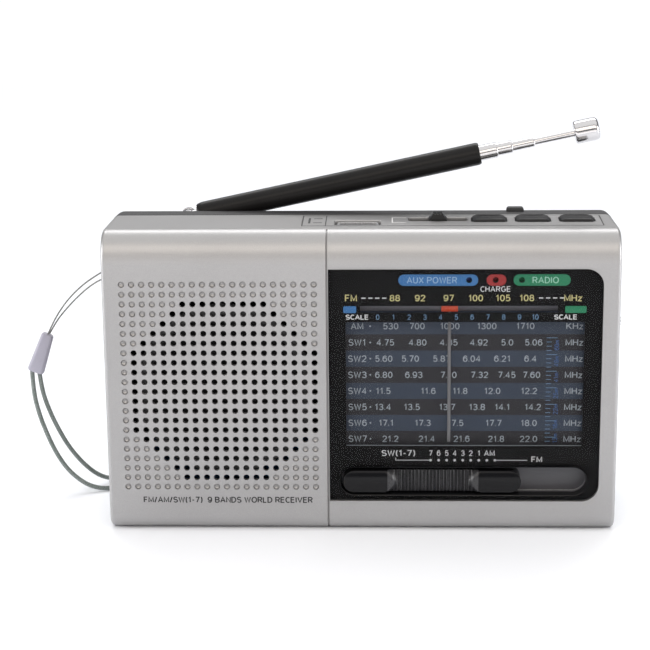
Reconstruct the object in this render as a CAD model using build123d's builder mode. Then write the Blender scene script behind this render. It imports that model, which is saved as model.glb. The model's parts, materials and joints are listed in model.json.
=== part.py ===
from build123d import *

import os
from math import cos, hypot, pi, radians, sin, tan

os.makedirs("parts", exist_ok=True)

# Portable shortwave receiver that stands upright on its base.
# X runs to the right, Y towards the back and Z up. The origin is the centre of the base.

# ---- Driving dimensions, in millimetres ----
WIDTH = 161.0
HEIGHT = 97.0
FRONT_Y = -22.0
COVER_Y = -14.0  # the front cover meets the middle case here
MIDDLE_Y = 7.6  # the middle case meets the back case here
RIDGE_Y = 14.2  # back of the raised ridge in front of the antenna channel
BACK_Y = 22.0
WALL = 2.0
LEDGE_Z = 90.4  # floor of the antenna channel
TOP_ROLL = 7.6
BOTTOM_ROLL = 5.5
BASE_TRIM = 0.05  # shaved off under the cases to leave a true flat base
GAP = 0.3  # clearance around a moving piece
TOUCH = 0.1  # clearance around a fixed piece

WINDOW = (-10.0, 75.2, 10.1, 85.9)  # x low, x high, z low, z high
DIAL = (-4.7, 70.0, 27.0, 68.0)
BAND_SLOT = (-6.8, 71.6, 12.0, 21.6)
LENS_T = 1.8
MASK_T = 0.8
SEAM_X = -10.4

SPEAKER_X = -42.7
SPEAKER_Z = 46.4
SPEAKER_R = 28.5
GRILLE_PITCH = 3.15
GRILLE_HOLE_R = 0.9
GRILLE_REACH = 9  # columns and rows each side of the centre
GRILLE_CORNER = 13  # the corners of the pattern are cut off past this sum

POINTER_X = 27.8
POINTER_Z = 72.5
POINTER_TRAVEL = (-27.2, 28.3)
CORD_Y = -12.6
CORD_R = 0.3
DRUM_X = 33.0
DRUM_Z = 46.0
SHAFT_Y = -5.0  # the inner end of the drum's shaft
DRUM_R = (POINTER_TRAVEL[1] - POINTER_TRAVEL[0]) / pi  # half a turn covers the travel
SPOOL_R = 5.0
GUIDE_R = 1.6
GUIDES_X = (-4.0, 60.5)
TUNING_X = 70.8
TUNING_Z = 65.6
TUNING_R = 11.5
VOLUME_X = 70.9
VOLUME_Z = 30.0
VOLUME_R = 10.3
WHEEL_Y = (-8.5, -3.5)

BAND_KNOB = (-5.7, 50.6, 13.1, 20.3)
BAND_STEP = 2.54
BAND_TRAVEL = 8 * BAND_STEP

PANEL = (-18.5, 76.0, -10.0, 6.0)  # x low, x high, y low, y high
PANEL_T = 1.8
BUTTONS_X = (40.6, 54.4, 68.3)
BUTTON_SIZE = (10.7, 7.6)
BUTTON_Y = -0.4
BUTTON_TRAVEL = 0.8
SWITCH_X = 24.4
SWITCH_TRAVEL = 5.0
USB_X = -0.9
USB_Y = -5.0
BOARD_Z = 86.0  # underside of the control board
MAIN_BOARD_Y = (2.0, 3.6)

ANTENNA_X = -57.0
ANTENNA_Y = 18.3
ANTENNA_Z = 94.5
ANTENNA_LIFT = 12.1  # degrees above level, at rest
SLEEVE = (3.4, 97.5)  # start and end, measured from the pivot
TUBE_RADII = (2.5, 2.05, 1.6, 1.1)
TUBE_WALL = 0.4
EXPOSED = (5.8, 4.9, 7.3, 13.0)
TUBE_LENGTHS = (88.0, 86.0, 84.0, 82.0)
SLIDING_FIT = 0.05
CAP_R = 3.7
POST_R = 1.9  # the swivel post in the ledge
EAR_R = 2.6  # the fork's ears clear the ridge as the fork turns
NUT_R = 2.6  # the collar under the ledge that keeps the post in
CAP_LENGTH = 8.0

CELL_R = 9.2
CELL_X = (-69.5, -4.3)
CELL_Y = 10.3
CELL_Z = 13.0
DOOR = (-69.0, -5.0, 4.5, 21.5)
SCREWS = ((-75.2, 6.0), (75.2, 6.0), (-75.2, 82.0), (75.2, 84.5))
JACK_Z = 62.0
JACK_R = 1.8

STRAP_BAR = (-81.0, 78.2)  # x and z of the bar's centre
STRAP_BAR_R = 0.7
STRAP_BAR_Y = (9.6, 14.4)


def at_y(y):
    """The upright plane at y. Its sketches are drawn in x and z and extrude towards the front."""
    return Plane.XZ.offset(-y)


def middle(box):
    """The centre of a box given as low and high pairs."""
    return ((box[0] + box[1]) / 2, (box[2] + box[3]) / 2)


def size(box, grow=0.0):
    """The two sizes of a box given as low and high pairs, grown on every side."""
    return (box[1] - box[0] + 2 * grow, box[3] - box[2] + 2 * grow)


def save(piece, name):
    """Label the finished piece and write it."""
    piece.part.label = name
    export_step(piece.part, f"parts/{name}.step")


def shell_section(y, inset, corner):
    """The outline of the middle or back case at y, as a sketch on its plane."""
    with BuildSketch(at_y(y)) as outline:
        with Locations((0, (HEIGHT - BASE_TRIM) / 2)):
            RectangleRounded(WIDTH - 2 * inset, HEIGHT + BASE_TRIM - 2 * inset, corner)
    return outline


def antenna_plane(distance):
    """The plane across the antenna at a distance from its pivot, facing the tip."""
    lift = radians(ANTENNA_LIFT)
    along = Vector(cos(lift), 0, sin(lift))
    origin = Vector(ANTENNA_X, ANTENNA_Y, ANTENNA_Z) + along * distance
    return Plane(origin=origin, x_dir=(0, 1, 0), z_dir=along)


# ---- Front cover: a silver moulding with rolled edges, a window and a drilled grille ----
depth = COVER_Y - FRONT_Y

with BuildPart() as front_cover:
    with BuildSketch(Plane.YZ.offset(-WIDTH / 2)) as side:
        with Locations((FRONT_Y, 0)):
            Rectangle(depth, HEIGHT, align=(Align.MIN, Align.MIN))
        fillet(side.vertices().sort_by_distance((FRONT_Y, HEIGHT, 0))[0], TOP_ROLL)
        fillet(side.vertices().sort_by_distance((FRONT_Y, 0, 0))[0], BOTTOM_ROLL)
    extrude(amount=WIDTH)
    with BuildSketch(at_y(COVER_Y)):
        with Locations((0, HEIGHT / 2)):
            RectangleRounded(WIDTH, HEIGHT, 2.5)
    extrude(amount=depth, mode=Mode.INTERSECT)
    with BuildSketch(Plane.YZ.offset(-WIDTH / 2 + WALL)) as inside:
        with Locations((FRONT_Y + WALL, WALL)):
            Rectangle(depth, HEIGHT - 2 * WALL, align=(Align.MIN, Align.MIN))
        fillet(inside.vertices().sort_by_distance((FRONT_Y + WALL, HEIGHT - WALL, 0))[0], TOP_ROLL - WALL)
        fillet(inside.vertices().sort_by_distance((FRONT_Y + WALL, WALL, 0))[0], BOTTOM_ROLL - WALL)
    extrude(amount=WIDTH - 2 * WALL, mode=Mode.SUBTRACT)
    with BuildSketch(at_y(FRONT_Y + WALL + 1)) as window:
        with Locations(middle(WINDOW)):
            Rectangle(*size(WINDOW))
        right = window.vertices().group_by(Axis.X)[-1]
        fillet(right, 5.5)
    extrude(amount=WALL + 2, mode=Mode.SUBTRACT)
    with BuildSketch(at_y(FRONT_Y + 0.4)):
        with Locations((SEAM_X, HEIGHT / 2)):
            Rectangle(0.6, HEIGHT + 2)
    extrude(amount=1, mode=Mode.SUBTRACT)
    holes = [
        (SPEAKER_X + GRILLE_PITCH * column, SPEAKER_Z + GRILLE_PITCH * row)
        for column in range(-GRILLE_REACH, GRILLE_REACH + 1)
        for row in range(-GRILLE_REACH, GRILLE_REACH + 1)
        if abs(column) + abs(row) <= GRILLE_CORNER
    ]
    with BuildSketch(at_y(FRONT_Y + WALL + 1)):
        with Locations(holes):
            Circle(GRILLE_HOLE_R)
    extrude(amount=WALL + 2, mode=Mode.SUBTRACT)
save(front_cover, "front_cover")

# ---- Middle case: the silver ring that carries the controls ----
panel_hole = size(PANEL, TOUCH)
wheel_slots = ((TUNING_Z, 10.2), (VOLUME_Z, 9.2))  # centre and half height of each slot

with BuildPart() as middle_case:
    front_edge = shell_section(COVER_Y, 0, 1.0)
    back_edge = shell_section(MIDDLE_Y, 0, 2.5)
    loft([front_edge.sketch, back_edge.sketch])
    with BuildSketch(Plane.XY):
        Rectangle(2 * WIDTH, WIDTH)
    extrude(amount=-1, mode=Mode.SUBTRACT)
    front_inner = shell_section(COVER_Y - 0.01, WALL, 1.0)
    back_inner = shell_section(MIDDLE_Y + 0.01, WALL, 1.5)
    loft([front_inner.sketch, back_inner.sketch], mode=Mode.SUBTRACT)
    with BuildSketch(at_y(MIDDLE_Y)):
        with Locations(*SCREWS):
            Circle(3.6)
    extrude(amount=MIDDLE_Y - COVER_Y)
    with BuildSketch(at_y(MIDDLE_Y + 1)):
        with Locations(*SCREWS):
            Circle(1.3)
    extrude(amount=14, mode=Mode.SUBTRACT)
    with BuildSketch(Plane.XY.offset(HEIGHT - WALL - 1)):
        with Locations(middle(PANEL)):
            Rectangle(*panel_hole)
    extrude(amount=WALL + 2, mode=Mode.SUBTRACT)
    with BuildSketch(Plane.YZ.offset(WIDTH / 2 - 6)):
        for slot_z, slot_half in wheel_slots:
            with Locations(((WHEEL_Y[0] + WHEEL_Y[1]) / 2, slot_z)):
                Rectangle(WHEEL_Y[1] - WHEEL_Y[0] + 1, 2 * slot_half)
    extrude(amount=10, mode=Mode.SUBTRACT)
    with BuildSketch(Plane.YZ.offset(-WIDTH / 2 - 1)):
        with Locations((0, JACK_Z)):
            Circle(3.1)
    extrude(amount=5, mode=Mode.SUBTRACT)
save(middle_case, "middle_case")

# ---- Back case: dark shell with the antenna channel, strap bar and battery opening ----
with BuildPart() as back_case:
    front_edge = shell_section(MIDDLE_Y, 0, 2.5)
    back_edge = shell_section(BACK_Y, 0, 4.5)
    loft([front_edge.sketch, back_edge.sketch])
    with BuildSketch(Plane.XY):
        Rectangle(2 * WIDTH, WIDTH)
    extrude(amount=-1, mode=Mode.SUBTRACT)
    with BuildSketch(at_y(BACK_Y + 1)):
        with Locations((0, LEDGE_Z)):
            Rectangle(WIDTH + 2, 10, align=(Align.CENTER, Align.MIN))
    extrude(amount=BACK_Y + 1 - RIDGE_Y, mode=Mode.SUBTRACT)
    with BuildSketch(at_y(BACK_Y - WALL)):
        with Locations((0, WALL)):
            Rectangle(WIDTH - 2 * WALL, LEDGE_Z - 2 * WALL, align=(Align.CENTER, Align.MIN))
    extrude(amount=BACK_Y - WALL - MIDDLE_Y + 1, mode=Mode.SUBTRACT)
    with BuildSketch(at_y(RIDGE_Y - WALL)):
        with Locations((0, LEDGE_Z - WALL - 1)):
            Rectangle(WIDTH - 10, HEIGHT - LEDGE_Z + 1, align=(Align.CENTER, Align.MIN))
    extrude(amount=RIDGE_Y - WALL - MIDDLE_Y + 1, mode=Mode.SUBTRACT)
    with BuildSketch(at_y(BACK_Y - WALL)):
        with Locations(*SCREWS):
            Circle(3.6)
    extrude(amount=BACK_Y - WALL - MIDDLE_Y)
    with BuildSketch(at_y(BACK_Y + 1)):
        with Locations(*SCREWS):
            Circle(1.3)
    extrude(amount=BACK_Y + 2 - MIDDLE_Y, mode=Mode.SUBTRACT)
    with BuildSketch(at_y(BACK_Y + 1)):
        with Locations(*SCREWS):
            Circle(2.5)
    extrude(amount=2.4, mode=Mode.SUBTRACT)
    with BuildSketch(at_y(BACK_Y + 1)):
        with Locations(middle(DOOR)):
            RectangleRounded(*size(DOOR), 1.5)
    extrude(amount=WALL + 2, mode=Mode.SUBTRACT)
    with BuildSketch(Plane.XY.offset(LEDGE_Z - WALL)):
        with Locations((ANTENNA_X, ANTENNA_Y)):
            Circle(POST_R + SLIDING_FIT)
    extrude(amount=10, mode=Mode.SUBTRACT)
    with BuildSketch(Plane.XY.offset(LEDGE_Z - WALL)):
        with Locations((ANTENNA_X, ANTENNA_Y)):
            Circle(NUT_R + GAP)
    extrude(amount=-3, mode=Mode.SUBTRACT)
    with BuildSketch(Plane.XY.offset(HEIGHT - 1)):
        with Locations((49.6, 13.0)):
            Rectangle(6.0, 2.2)
    extrude(amount=2.4)
    recess_depth = STRAP_BAR_Y[1] - STRAP_BAR_Y[0]
    with BuildSketch(at_y(STRAP_BAR_Y[1] + 1)):
        with Locations((-WIDTH / 2 + 2.4, STRAP_BAR[1])):
            Rectangle(2.2, 12.0)
    extrude(amount=recess_depth + 2)
    with BuildSketch(at_y(STRAP_BAR_Y[1])):
        with Locations((-WIDTH / 2 + 2.1, STRAP_BAR[1])):
            Rectangle(3.5, 10.0, align=(Align.MAX, Align.CENTER))
    extrude(amount=recess_depth, mode=Mode.SUBTRACT)
    lug_x = -WIDTH / 2 + 1.0
    with BuildSketch(Plane.XY.offset(STRAP_BAR[1] - 1.3)):
        for ear_y in (STRAP_BAR_Y[0] - 0.5, STRAP_BAR_Y[1] + 0.5):
            with Locations((lug_x, ear_y)):
                Rectangle(lug_x - STRAP_BAR[0] + 1.2, 1.0, align=(Align.MAX, Align.CENTER))
    extrude(amount=2.6)
    with BuildSketch(at_y(STRAP_BAR_Y[1] + 0.5)):
        with Locations(STRAP_BAR):
            Circle(STRAP_BAR_R)
    extrude(amount=STRAP_BAR_Y[1] - STRAP_BAR_Y[0] + 1)
save(back_case, "back_case")

# ---- Battery door ----
with BuildPart() as battery_door:
    with BuildSketch(at_y(BACK_Y)):
        with Locations(middle(DOOR)):
            RectangleRounded(*size(DOOR, -GAP), 1.3)
    extrude(amount=WALL)
    ribs_x, ribs_z = middle(DOOR)
    with BuildSketch(at_y(BACK_Y + 1)):
        with Locations((ribs_x, ribs_z)):
            with GridLocations(2.0, 0, 8, 1):
                Rectangle(0.9, 8.0)
    extrude(amount=1.5, mode=Mode.SUBTRACT)
save(battery_door, "battery_door")

# ---- Case screws, one from behind in each corner ----
with BuildPart() as case_screws:
    with BuildSketch(at_y(BACK_Y - 1.4)):
        with Locations(*SCREWS):
            Circle(1.25)
    extrude(amount=24)
    with BuildSketch(at_y(BACK_Y - 0.2)):
        with Locations(*SCREWS):
            Circle(2.3)
    extrude(amount=1.2)
    with BuildSketch(at_y(BACK_Y)):
        with Locations(*SCREWS):
            Rectangle(2.6, 0.6)
            Rectangle(0.6, 2.6)
    extrude(amount=0.9, mode=Mode.SUBTRACT)
save(case_screws, "case_screws")

# ---- Top panel with its openings ----
usb_hole = (14.6, 7.1)
switch_slot = (18.7, 5.6)
board_top = BOARD_Z + 1.2

with BuildPart() as top_panel:
    with BuildSketch(Plane.XY.offset(HEIGHT - PANEL_T)):
        with Locations(middle(PANEL)):
            Rectangle(*size(PANEL))
    extrude(amount=PANEL_T)
    with BuildSketch(Plane.XY.offset(HEIGHT - PANEL_T - 1)):
        with Locations((USB_X, USB_Y)):
            RectangleRounded(*usb_hole, 0.8)
        with Locations((SWITCH_X, 0)):
            Rectangle(*switch_slot)
        with Locations(*[(x, BUTTON_Y) for x in BUTTONS_X]):
            RectangleRounded(BUTTON_SIZE[0] + 2 * GAP, BUTTON_SIZE[1] + 2 * GAP, 1.3)
    extrude(amount=PANEL_T + 2, mode=Mode.SUBTRACT)
save(top_panel, "top_panel")

# ---- Three push buttons with arched caps ----
for button_x, button_name in zip(BUTTONS_X, ("button_left", "button_middle", "button_right")):
    with BuildPart() as button:
        with BuildSketch(at_y(BUTTON_Y + BUTTON_SIZE[1] / 2)):
            with BuildLine():
                low = HEIGHT - PANEL_T - GAP
                left = button_x - BUTTON_SIZE[0] / 2
                right_x = button_x + BUTTON_SIZE[0] / 2
                ends = [(left, HEIGHT + 0.5), (left, low), (right_x, low), (right_x, HEIGHT + 0.5)]
                Polyline(*ends)
                ThreePointArc(ends[3], (button_x, HEIGHT + 1.5), ends[0])
            make_face()
        extrude(amount=BUTTON_SIZE[1])
        fillet(button.edges().filter_by(Axis.Z), 0.9)
        with BuildSketch(Plane.XY.offset(low - 0.8)):
            with Locations((button_x, BUTTON_Y)):
                Rectangle(BUTTON_SIZE[0] + 1.6, BUTTON_SIZE[1] + 1.6)
        extrude(amount=0.8)
        with BuildSketch(Plane.XY.offset(board_top + 5.9)):
            with Locations((button_x, BUTTON_Y)):
                Circle(1.5)
        extrude(amount=low - board_top - 6.2)
    save(button, button_name)

with BuildPart() as tact_switches:
    with BuildSketch(Plane.XY.offset(board_top)):
        with Locations(*[(x, BUTTON_Y) for x in BUTTONS_X]):
            Rectangle(6.0, 6.0)
    extrude(amount=3.6)
    with BuildSketch(Plane.XY.offset(board_top + 3.6)):
        with Locations(*[(x, BUTTON_Y) for x in BUTTONS_X]):
            Circle(1.7)
    extrude(amount=1.2)
save(tact_switches, "tact_switches")

# ---- Function switch and its knob ----
with BuildPart() as function_switch:
    with BuildSketch(Plane.XY.offset(board_top)):
        with Locations((SWITCH_X, 0)):
            Rectangle(17.0, 6.6)
    extrude(amount=5.0)
    with BuildSketch(Plane.XY.offset(board_top + 2.5)):
        with Locations((SWITCH_X, 0)):
            Rectangle(2 * SWITCH_TRAVEL + 4.0, 3.0)
    extrude(amount=5, mode=Mode.SUBTRACT)
save(function_switch, "function_switch")

with BuildPart() as function_knob:
    with BuildSketch(Plane.XY.offset(HEIGHT - PANEL_T - 1.3)):
        with Locations((SWITCH_X, 0)):
            Rectangle(6.0, 5.0)
    extrude(amount=PANEL_T + 2.7)
    with BuildSketch(at_y(4)):
        with Locations((SWITCH_X, HEIGHT + 1.6)):
            with GridLocations(1.2, 0, 4, 1):
                Rectangle(0.5, 1.2)
    extrude(amount=8, mode=Mode.SUBTRACT)
    with BuildSketch(Plane.XY.offset(board_top + 2.9)):
        with Locations((SWITCH_X, 0)):
            Rectangle(2.4, 2.2)
    extrude(amount=HEIGHT - PANEL_T - 1.3 - board_top - 2.9)
save(function_knob, "function_knob")

# ---- USB socket ----
usb_low = board_top - 4.0

with BuildPart() as usb_shell:
    with BuildSketch(Plane.XY.offset(usb_low)):
        with Locations((USB_X, USB_Y)):
            Rectangle(13.1, 5.7)
    extrude(amount=HEIGHT - 0.5 - usb_low)
    with BuildSketch(Plane.XY.offset(usb_low + 0.6)):
        with Locations((USB_X, USB_Y)):
            Rectangle(12.5, 5.1)
    extrude(amount=HEIGHT, mode=Mode.SUBTRACT)
save(usb_shell, "usb_shell")

with BuildPart() as usb_tongue:
    with BuildSketch(Plane.XY.offset(usb_low + 0.6)):
        with Locations((USB_X, USB_Y + 0.9)):
            Rectangle(11.1, 1.84)
    extrude(amount=HEIGHT - 2.5 - usb_low - 0.6)
save(usb_tongue, "usb_tongue")

# ---- Circuit boards and their parts ----
with BuildPart() as control_pcb:
    with BuildSketch(Plane.XY.offset(BOARD_Z)):
        with Locations((30.0, -2.4)):
            Rectangle(92.0, 16.0)
        with Locations((USB_X, USB_Y)):
            Rectangle(13.1 + 2 * TOUCH, 5.7 + 2 * TOUCH, mode=Mode.SUBTRACT)
        with Locations((SCREWS[3][0], 0)):
            Rectangle(9.0, 30.0, mode=Mode.SUBTRACT)
    extrude(amount=board_top - BOARD_Z)
save(control_pcb, "control_pcb")

with BuildPart() as main_pcb:
    with BuildSketch(at_y(MAIN_BOARD_Y[1])):
        with Locations((36.7, 44.0)):
            Rectangle(78.4, 81.0)
        with Locations(SCREWS[1], SCREWS[3]):
            Circle(4.2, mode=Mode.SUBTRACT)
    extrude(amount=MAIN_BOARD_Y[1] - MAIN_BOARD_Y[0])
    with BuildSketch(at_y(MAIN_BOARD_Y[1])):
        with Locations((TUNING_X, TUNING_Z)):
            Circle(2.05)
    extrude(amount=2, mode=Mode.SUBTRACT)
save(main_pcb, "main_pcb")

with BuildPart() as board_parts:
    with BuildSketch(at_y(MAIN_BOARD_Y[1] + 1.6)):
        with Locations((30.0, 50.0), (52.0, 30.0)):
            Rectangle(12.0, 7.5)
        with Locations((14.0, 34.0)):
            Rectangle(9.0, 9.0)
    extrude(amount=1.6)
    with BuildSketch(at_y(MAIN_BOARD_Y[1] + 9.0)):
        with Locations((12.0, 58.0), (24.0, 66.0), (40.0, 66.0), (56.0, 58.0)):
            RectangleRounded(7.0, 7.0, 0.6)
    extrude(amount=9.0)
save(board_parts, "board_parts")

# ---- Ferrite rod antenna with its coil ----
FERRITE = (2.0, 64.0, 12.0, 79.0)  # x low, x high, y and z of the axis

with BuildPart() as ferrite_rod:
    with BuildSketch(Plane.YZ.offset(FERRITE[0])):
        with Locations((FERRITE[2], FERRITE[3])):
            Circle(4.0)
    extrude(amount=FERRITE[1] - FERRITE[0])
save(ferrite_rod, "ferrite_rod")

with BuildPart() as ferrite_coil:
    with BuildSketch(Plane.YZ.offset(24.0)):
        with Locations((FERRITE[2], FERRITE[3])):
            Circle(5.0)
            Circle(4.02, mode=Mode.SUBTRACT)
    extrude(amount=20.0)
save(ferrite_coil, "ferrite_coil")

with BuildPart() as rod_holders:
    for holder_x in (8.0, 56.0):
        with BuildSketch(Plane.YZ.offset(holder_x)):
            with Locations((MAIN_BOARD_Y[1], FERRITE[3])):
                Rectangle(13.5, 4.0, align=(Align.MIN, Align.CENTER))
            with Locations((FERRITE[2], FERRITE[3])):
                Circle(5.6)
                Circle(4.02, mode=Mode.SUBTRACT)
        extrude(amount=4.0)
save(rod_holders, "rod_holders")

# ---- Dial: lens, printed mask, scale plate and the chassis behind them ----
led_spots = {"led_blue": 33.7, "led_red": 41.9, "led_green": 50.0}
LED_Z = 81.9
mask_front = FRONT_Y + WALL
mask_back = mask_front + MASK_T

with BuildPart() as dial_lens:
    with BuildSketch(at_y(mask_front)) as lens_outline:
        with Locations(middle(WINDOW)):
            Rectangle(*size(WINDOW, -TOUCH))
        fillet(lens_outline.vertices().group_by(Axis.X)[-1], 5.4)
        with Locations(middle(BAND_SLOT)):
            RectangleRounded(*size(BAND_SLOT), 4.7, mode=Mode.SUBTRACT)
    extrude(amount=LENS_T)
save(dial_lens, "dial_lens")

with BuildPart() as dial_mask:
    with BuildSketch(at_y(mask_back)):
        with Locations(middle(WINDOW)):
            Rectangle(*size(WINDOW, 1.5))
        with Locations(middle(DIAL)):
            RectangleRounded(*size(DIAL), 1.0, mode=Mode.SUBTRACT)
        with Locations(middle(BAND_SLOT)):
            RectangleRounded(*size(BAND_SLOT), 4.7, mode=Mode.SUBTRACT)
        with Locations((30.7, POINTER_Z)):
            Rectangle(62.4, 3.0, mode=Mode.SUBTRACT)
        with Locations(*[(x, LED_Z) for x in led_spots.values()]):
            Circle(0.7, mode=Mode.SUBTRACT)
    extrude(amount=MASK_T)
save(dial_mask, "dial_mask")

plate_front = mask_back + 2.2
plate_back = plate_front + 0.8
chassis_back = plate_back + 1.6
slot_length = POINTER_TRAVEL[1] - POINTER_TRAVEL[0] + 7.0
slot_x = POINTER_X + (POINTER_TRAVEL[0] + POINTER_TRAVEL[1]) / 2

with BuildPart() as dial_plate:
    with BuildSketch(at_y(plate_back)):
        with Locations((33.0, 51.0)):
            Rectangle(82.0, 52.0)
        with Locations((slot_x, POINTER_Z)):
            Rectangle(slot_length, 2.2, mode=Mode.SUBTRACT)
    extrude(amount=0.8)
save(dial_plate, "dial_plate")

with BuildPart() as dial_chassis:
    with BuildSketch(at_y(chassis_back)):
        with Locations((33.0, 51.0)):
            Rectangle(84.0, 53.0)
        with Locations((slot_x, POINTER_Z)):
            Rectangle(slot_length, 2.2, mode=Mode.SUBTRACT)
        with Locations((TUNING_X, TUNING_Z)):
            Circle(2.05, mode=Mode.SUBTRACT)
    extrude(amount=1.6)
    with BuildSketch(at_y(chassis_back + 3.4)):
        with Locations(*[(x, POINTER_Z - GUIDE_R) for x in GUIDES_X]):
            Circle(0.8)
    extrude(amount=3.4)
save(dial_chassis, "dial_chassis")

for led_name, led_x in led_spots.items():
    with BuildPart() as led:
        with BuildSketch(at_y(mask_back + 5.0)):
            with Locations((led_x, LED_Z)):
                Circle(1.5)
        extrude(amount=4.6)
        fillet(led.faces().sort_by(Axis.Y)[0].edges(), 1.0)
        with BuildSketch(at_y(mask_back + 5.8)):
            with Locations((led_x, LED_Z)):
                Circle(1.9)
        extrude(amount=0.8)
    save(led, led_name)

# ---- Pointer: the carriage hooks under the dial cord and carries the needle ----
with BuildPart() as pointer_carriage:
    with BuildSketch(at_y(chassis_back + GAP + 2.2)):
        with Locations((POINTER_X, POINTER_Z - 0.5)):
            Rectangle(4.0, 3.4)
        with Locations((POINTER_X, POINTER_Z)):
            Rectangle(6.0, 1.0, align=(Align.CENTER, Align.CENTER), mode=Mode.SUBTRACT)
        with Locations((POINTER_X, POINTER_Z + 1.0)):
            Rectangle(6.0, 2.0, mode=Mode.SUBTRACT)
    extrude(amount=2.2)
    with BuildSketch(at_y(chassis_back + GAP + 0.6)):
        with Locations((POINTER_X, POINTER_Z - 0.1)):
            Rectangle(4.0, 1.6)
    extrude(amount=chassis_back + GAP + 0.6 - plate_front + GAP)
    with BuildSketch(at_y(plate_front - GAP)):
        with Locations((POINTER_X, POINTER_Z)):
            Rectangle(5.2, 2.2)
    extrude(amount=0.9)
save(pointer_carriage, "pointer_carriage")

with BuildPart() as pointer_needle:
    with BuildSketch(at_y(plate_front - GAP)):
        with Locations((POINTER_X, POINTER_Z - 1.1)):
            Rectangle(1.0, POINTER_Z - 1.1 - 28.6, align=(Align.CENTER, Align.MAX))
    extrude(amount=0.5)
save(pointer_needle, "pointer_needle")

# ---- Dial cord drive: thumbwheel, spool, drum and two fixed guides ----
with BuildPart() as tuning_wheel:
    with BuildSketch(at_y(WHEEL_Y[1])):
        with Locations((TUNING_X, TUNING_Z)):
            Circle(TUNING_R)
            Circle(2.0, mode=Mode.SUBTRACT)
            with PolarLocations(TUNING_R + 0.15, 56):
                Circle(0.4, mode=Mode.SUBTRACT)
    extrude(amount=WHEEL_Y[1] - WHEEL_Y[0])
save(tuning_wheel, "tuning_wheel")

with BuildPart() as tuning_axle:
    with BuildSketch(at_y(MAIN_BOARD_Y[1])):
        with Locations((TUNING_X, TUNING_Z)):
            Circle(2.0)
    extrude(amount=MAIN_BOARD_Y[1] - plate_back - 0.4)
    with BuildSketch(at_y(CORD_Y + 1.0)):
        with Locations((TUNING_X, TUNING_Z)):
            Circle(SPOOL_R + 0.8)
    extrude(amount=2.0)
    with BuildSketch(at_y(CORD_Y + 0.5)):
        with Locations((TUNING_X, TUNING_Z)):
            Circle(SPOOL_R + 1.0)
            Circle(SPOOL_R - CORD_R - TOUCH, mode=Mode.SUBTRACT)
    extrude(amount=1.0, mode=Mode.SUBTRACT)
save(tuning_axle, "tuning_axle")

with BuildPart() as dial_drum:
    with BuildSketch(at_y(CORD_Y + 1.2)):
        with Locations((DRUM_X, DRUM_Z)):
            Circle(DRUM_R + 0.8)
            with PolarLocations(10.5, 4):
                Circle(4.0, mode=Mode.SUBTRACT)
    extrude(amount=2.4)
    with BuildSketch(at_y(CORD_Y + 0.5)):
        with Locations((DRUM_X, DRUM_Z)):
            Circle(DRUM_R + 1.0)
            Circle(DRUM_R - CORD_R - TOUCH, mode=Mode.SUBTRACT)
    extrude(amount=1.0, mode=Mode.SUBTRACT)
    with BuildSketch(at_y(SHAFT_Y)):
        with Locations((DRUM_X, DRUM_Z)):
            Circle(3.0)
    extrude(amount=SHAFT_Y - CORD_Y)
save(dial_drum, "dial_drum")

for guide_x, guide_name in zip(GUIDES_X, ("cord_guide_left", "cord_guide_right")):
    with BuildPart() as guide:
        with BuildSketch(at_y(CORD_Y + 0.9)):
            with Locations((guide_x, POINTER_Z - GUIDE_R)):
                Circle(GUIDE_R + 0.6)
        extrude(amount=1.7)
        with BuildSketch(at_y(CORD_Y + 0.5)):
            with Locations((guide_x, POINTER_Z - GUIDE_R)):
                Circle(GUIDE_R + 1.0)
                Circle(GUIDE_R - CORD_R - TOUCH, mode=Mode.SUBTRACT)
        extrude(amount=1.0, mode=Mode.SUBTRACT)
        with BuildSketch(at_y(CORD_Y + 2)):
            with Locations((guide_x, POINTER_Z - GUIDE_R)):
                Circle(0.85)
        extrude(amount=4, mode=Mode.SUBTRACT)
    save(guide, guide_name)

with BuildPart() as tuning_capacitor:
    with BuildSketch(at_y(MAIN_BOARD_Y[0])):
        with Locations((DRUM_X, DRUM_Z)):
            RectangleRounded(20.0, 20.0, 1.0)
    extrude(amount=MAIN_BOARD_Y[0] + 8.0)
    with BuildSketch(at_y(SHAFT_Y + GAP)):
        with Locations((DRUM_X, DRUM_Z)):
            Circle(3.05)
    extrude(amount=5, mode=Mode.SUBTRACT)
save(tuning_capacitor, "tuning_capacitor")

# The cord runs round the outside of four wheels, clockwise as seen from the front.
wheels = [
    (GUIDES_X[0], POINTER_Z - GUIDE_R, GUIDE_R),
    (GUIDES_X[1], POINTER_Z - GUIDE_R, GUIDE_R),
    (TUNING_X, TUNING_Z, SPOOL_R),
    (DRUM_X, DRUM_Z, DRUM_R),
]


def tangent(start, end):
    """The outer tangent of two wheels on the left of the way from start to end."""
    gap_x, gap_z = end[0] - start[0], end[1] - start[1]
    distance = hypot(gap_x, gap_z)
    along = (gap_x / distance, gap_z / distance)
    lean = (start[2] - end[2]) / distance
    rise = (1 - lean**2) ** 0.5
    normal = (along[0] * lean - along[1] * rise, along[1] * lean + along[0] * rise)
    return [(wheel[0] + wheel[2] * normal[0], wheel[1] + wheel[2] * normal[1]) for wheel in (start, end)]


spans = [tangent(wheels[i], wheels[(i + 1) % 4]) for i in range(4)]

with BuildPart() as dial_cord:
    with BuildSketch(at_y(CORD_Y + CORD_R)):
        with BuildLine():
            for i, (start, end) in enumerate(spans):
                Line(start, end)
                leave = spans[(i + 1) % 4][0]
                TangentArc(end, leave, tangent=(end[0] - start[0], end[1] - start[1]))
        make_face()
        offset(amount=CORD_R)
        offset(amount=-2 * CORD_R, mode=Mode.SUBTRACT)
    extrude(amount=2 * CORD_R)
save(dial_cord, "dial_cord")

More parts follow.
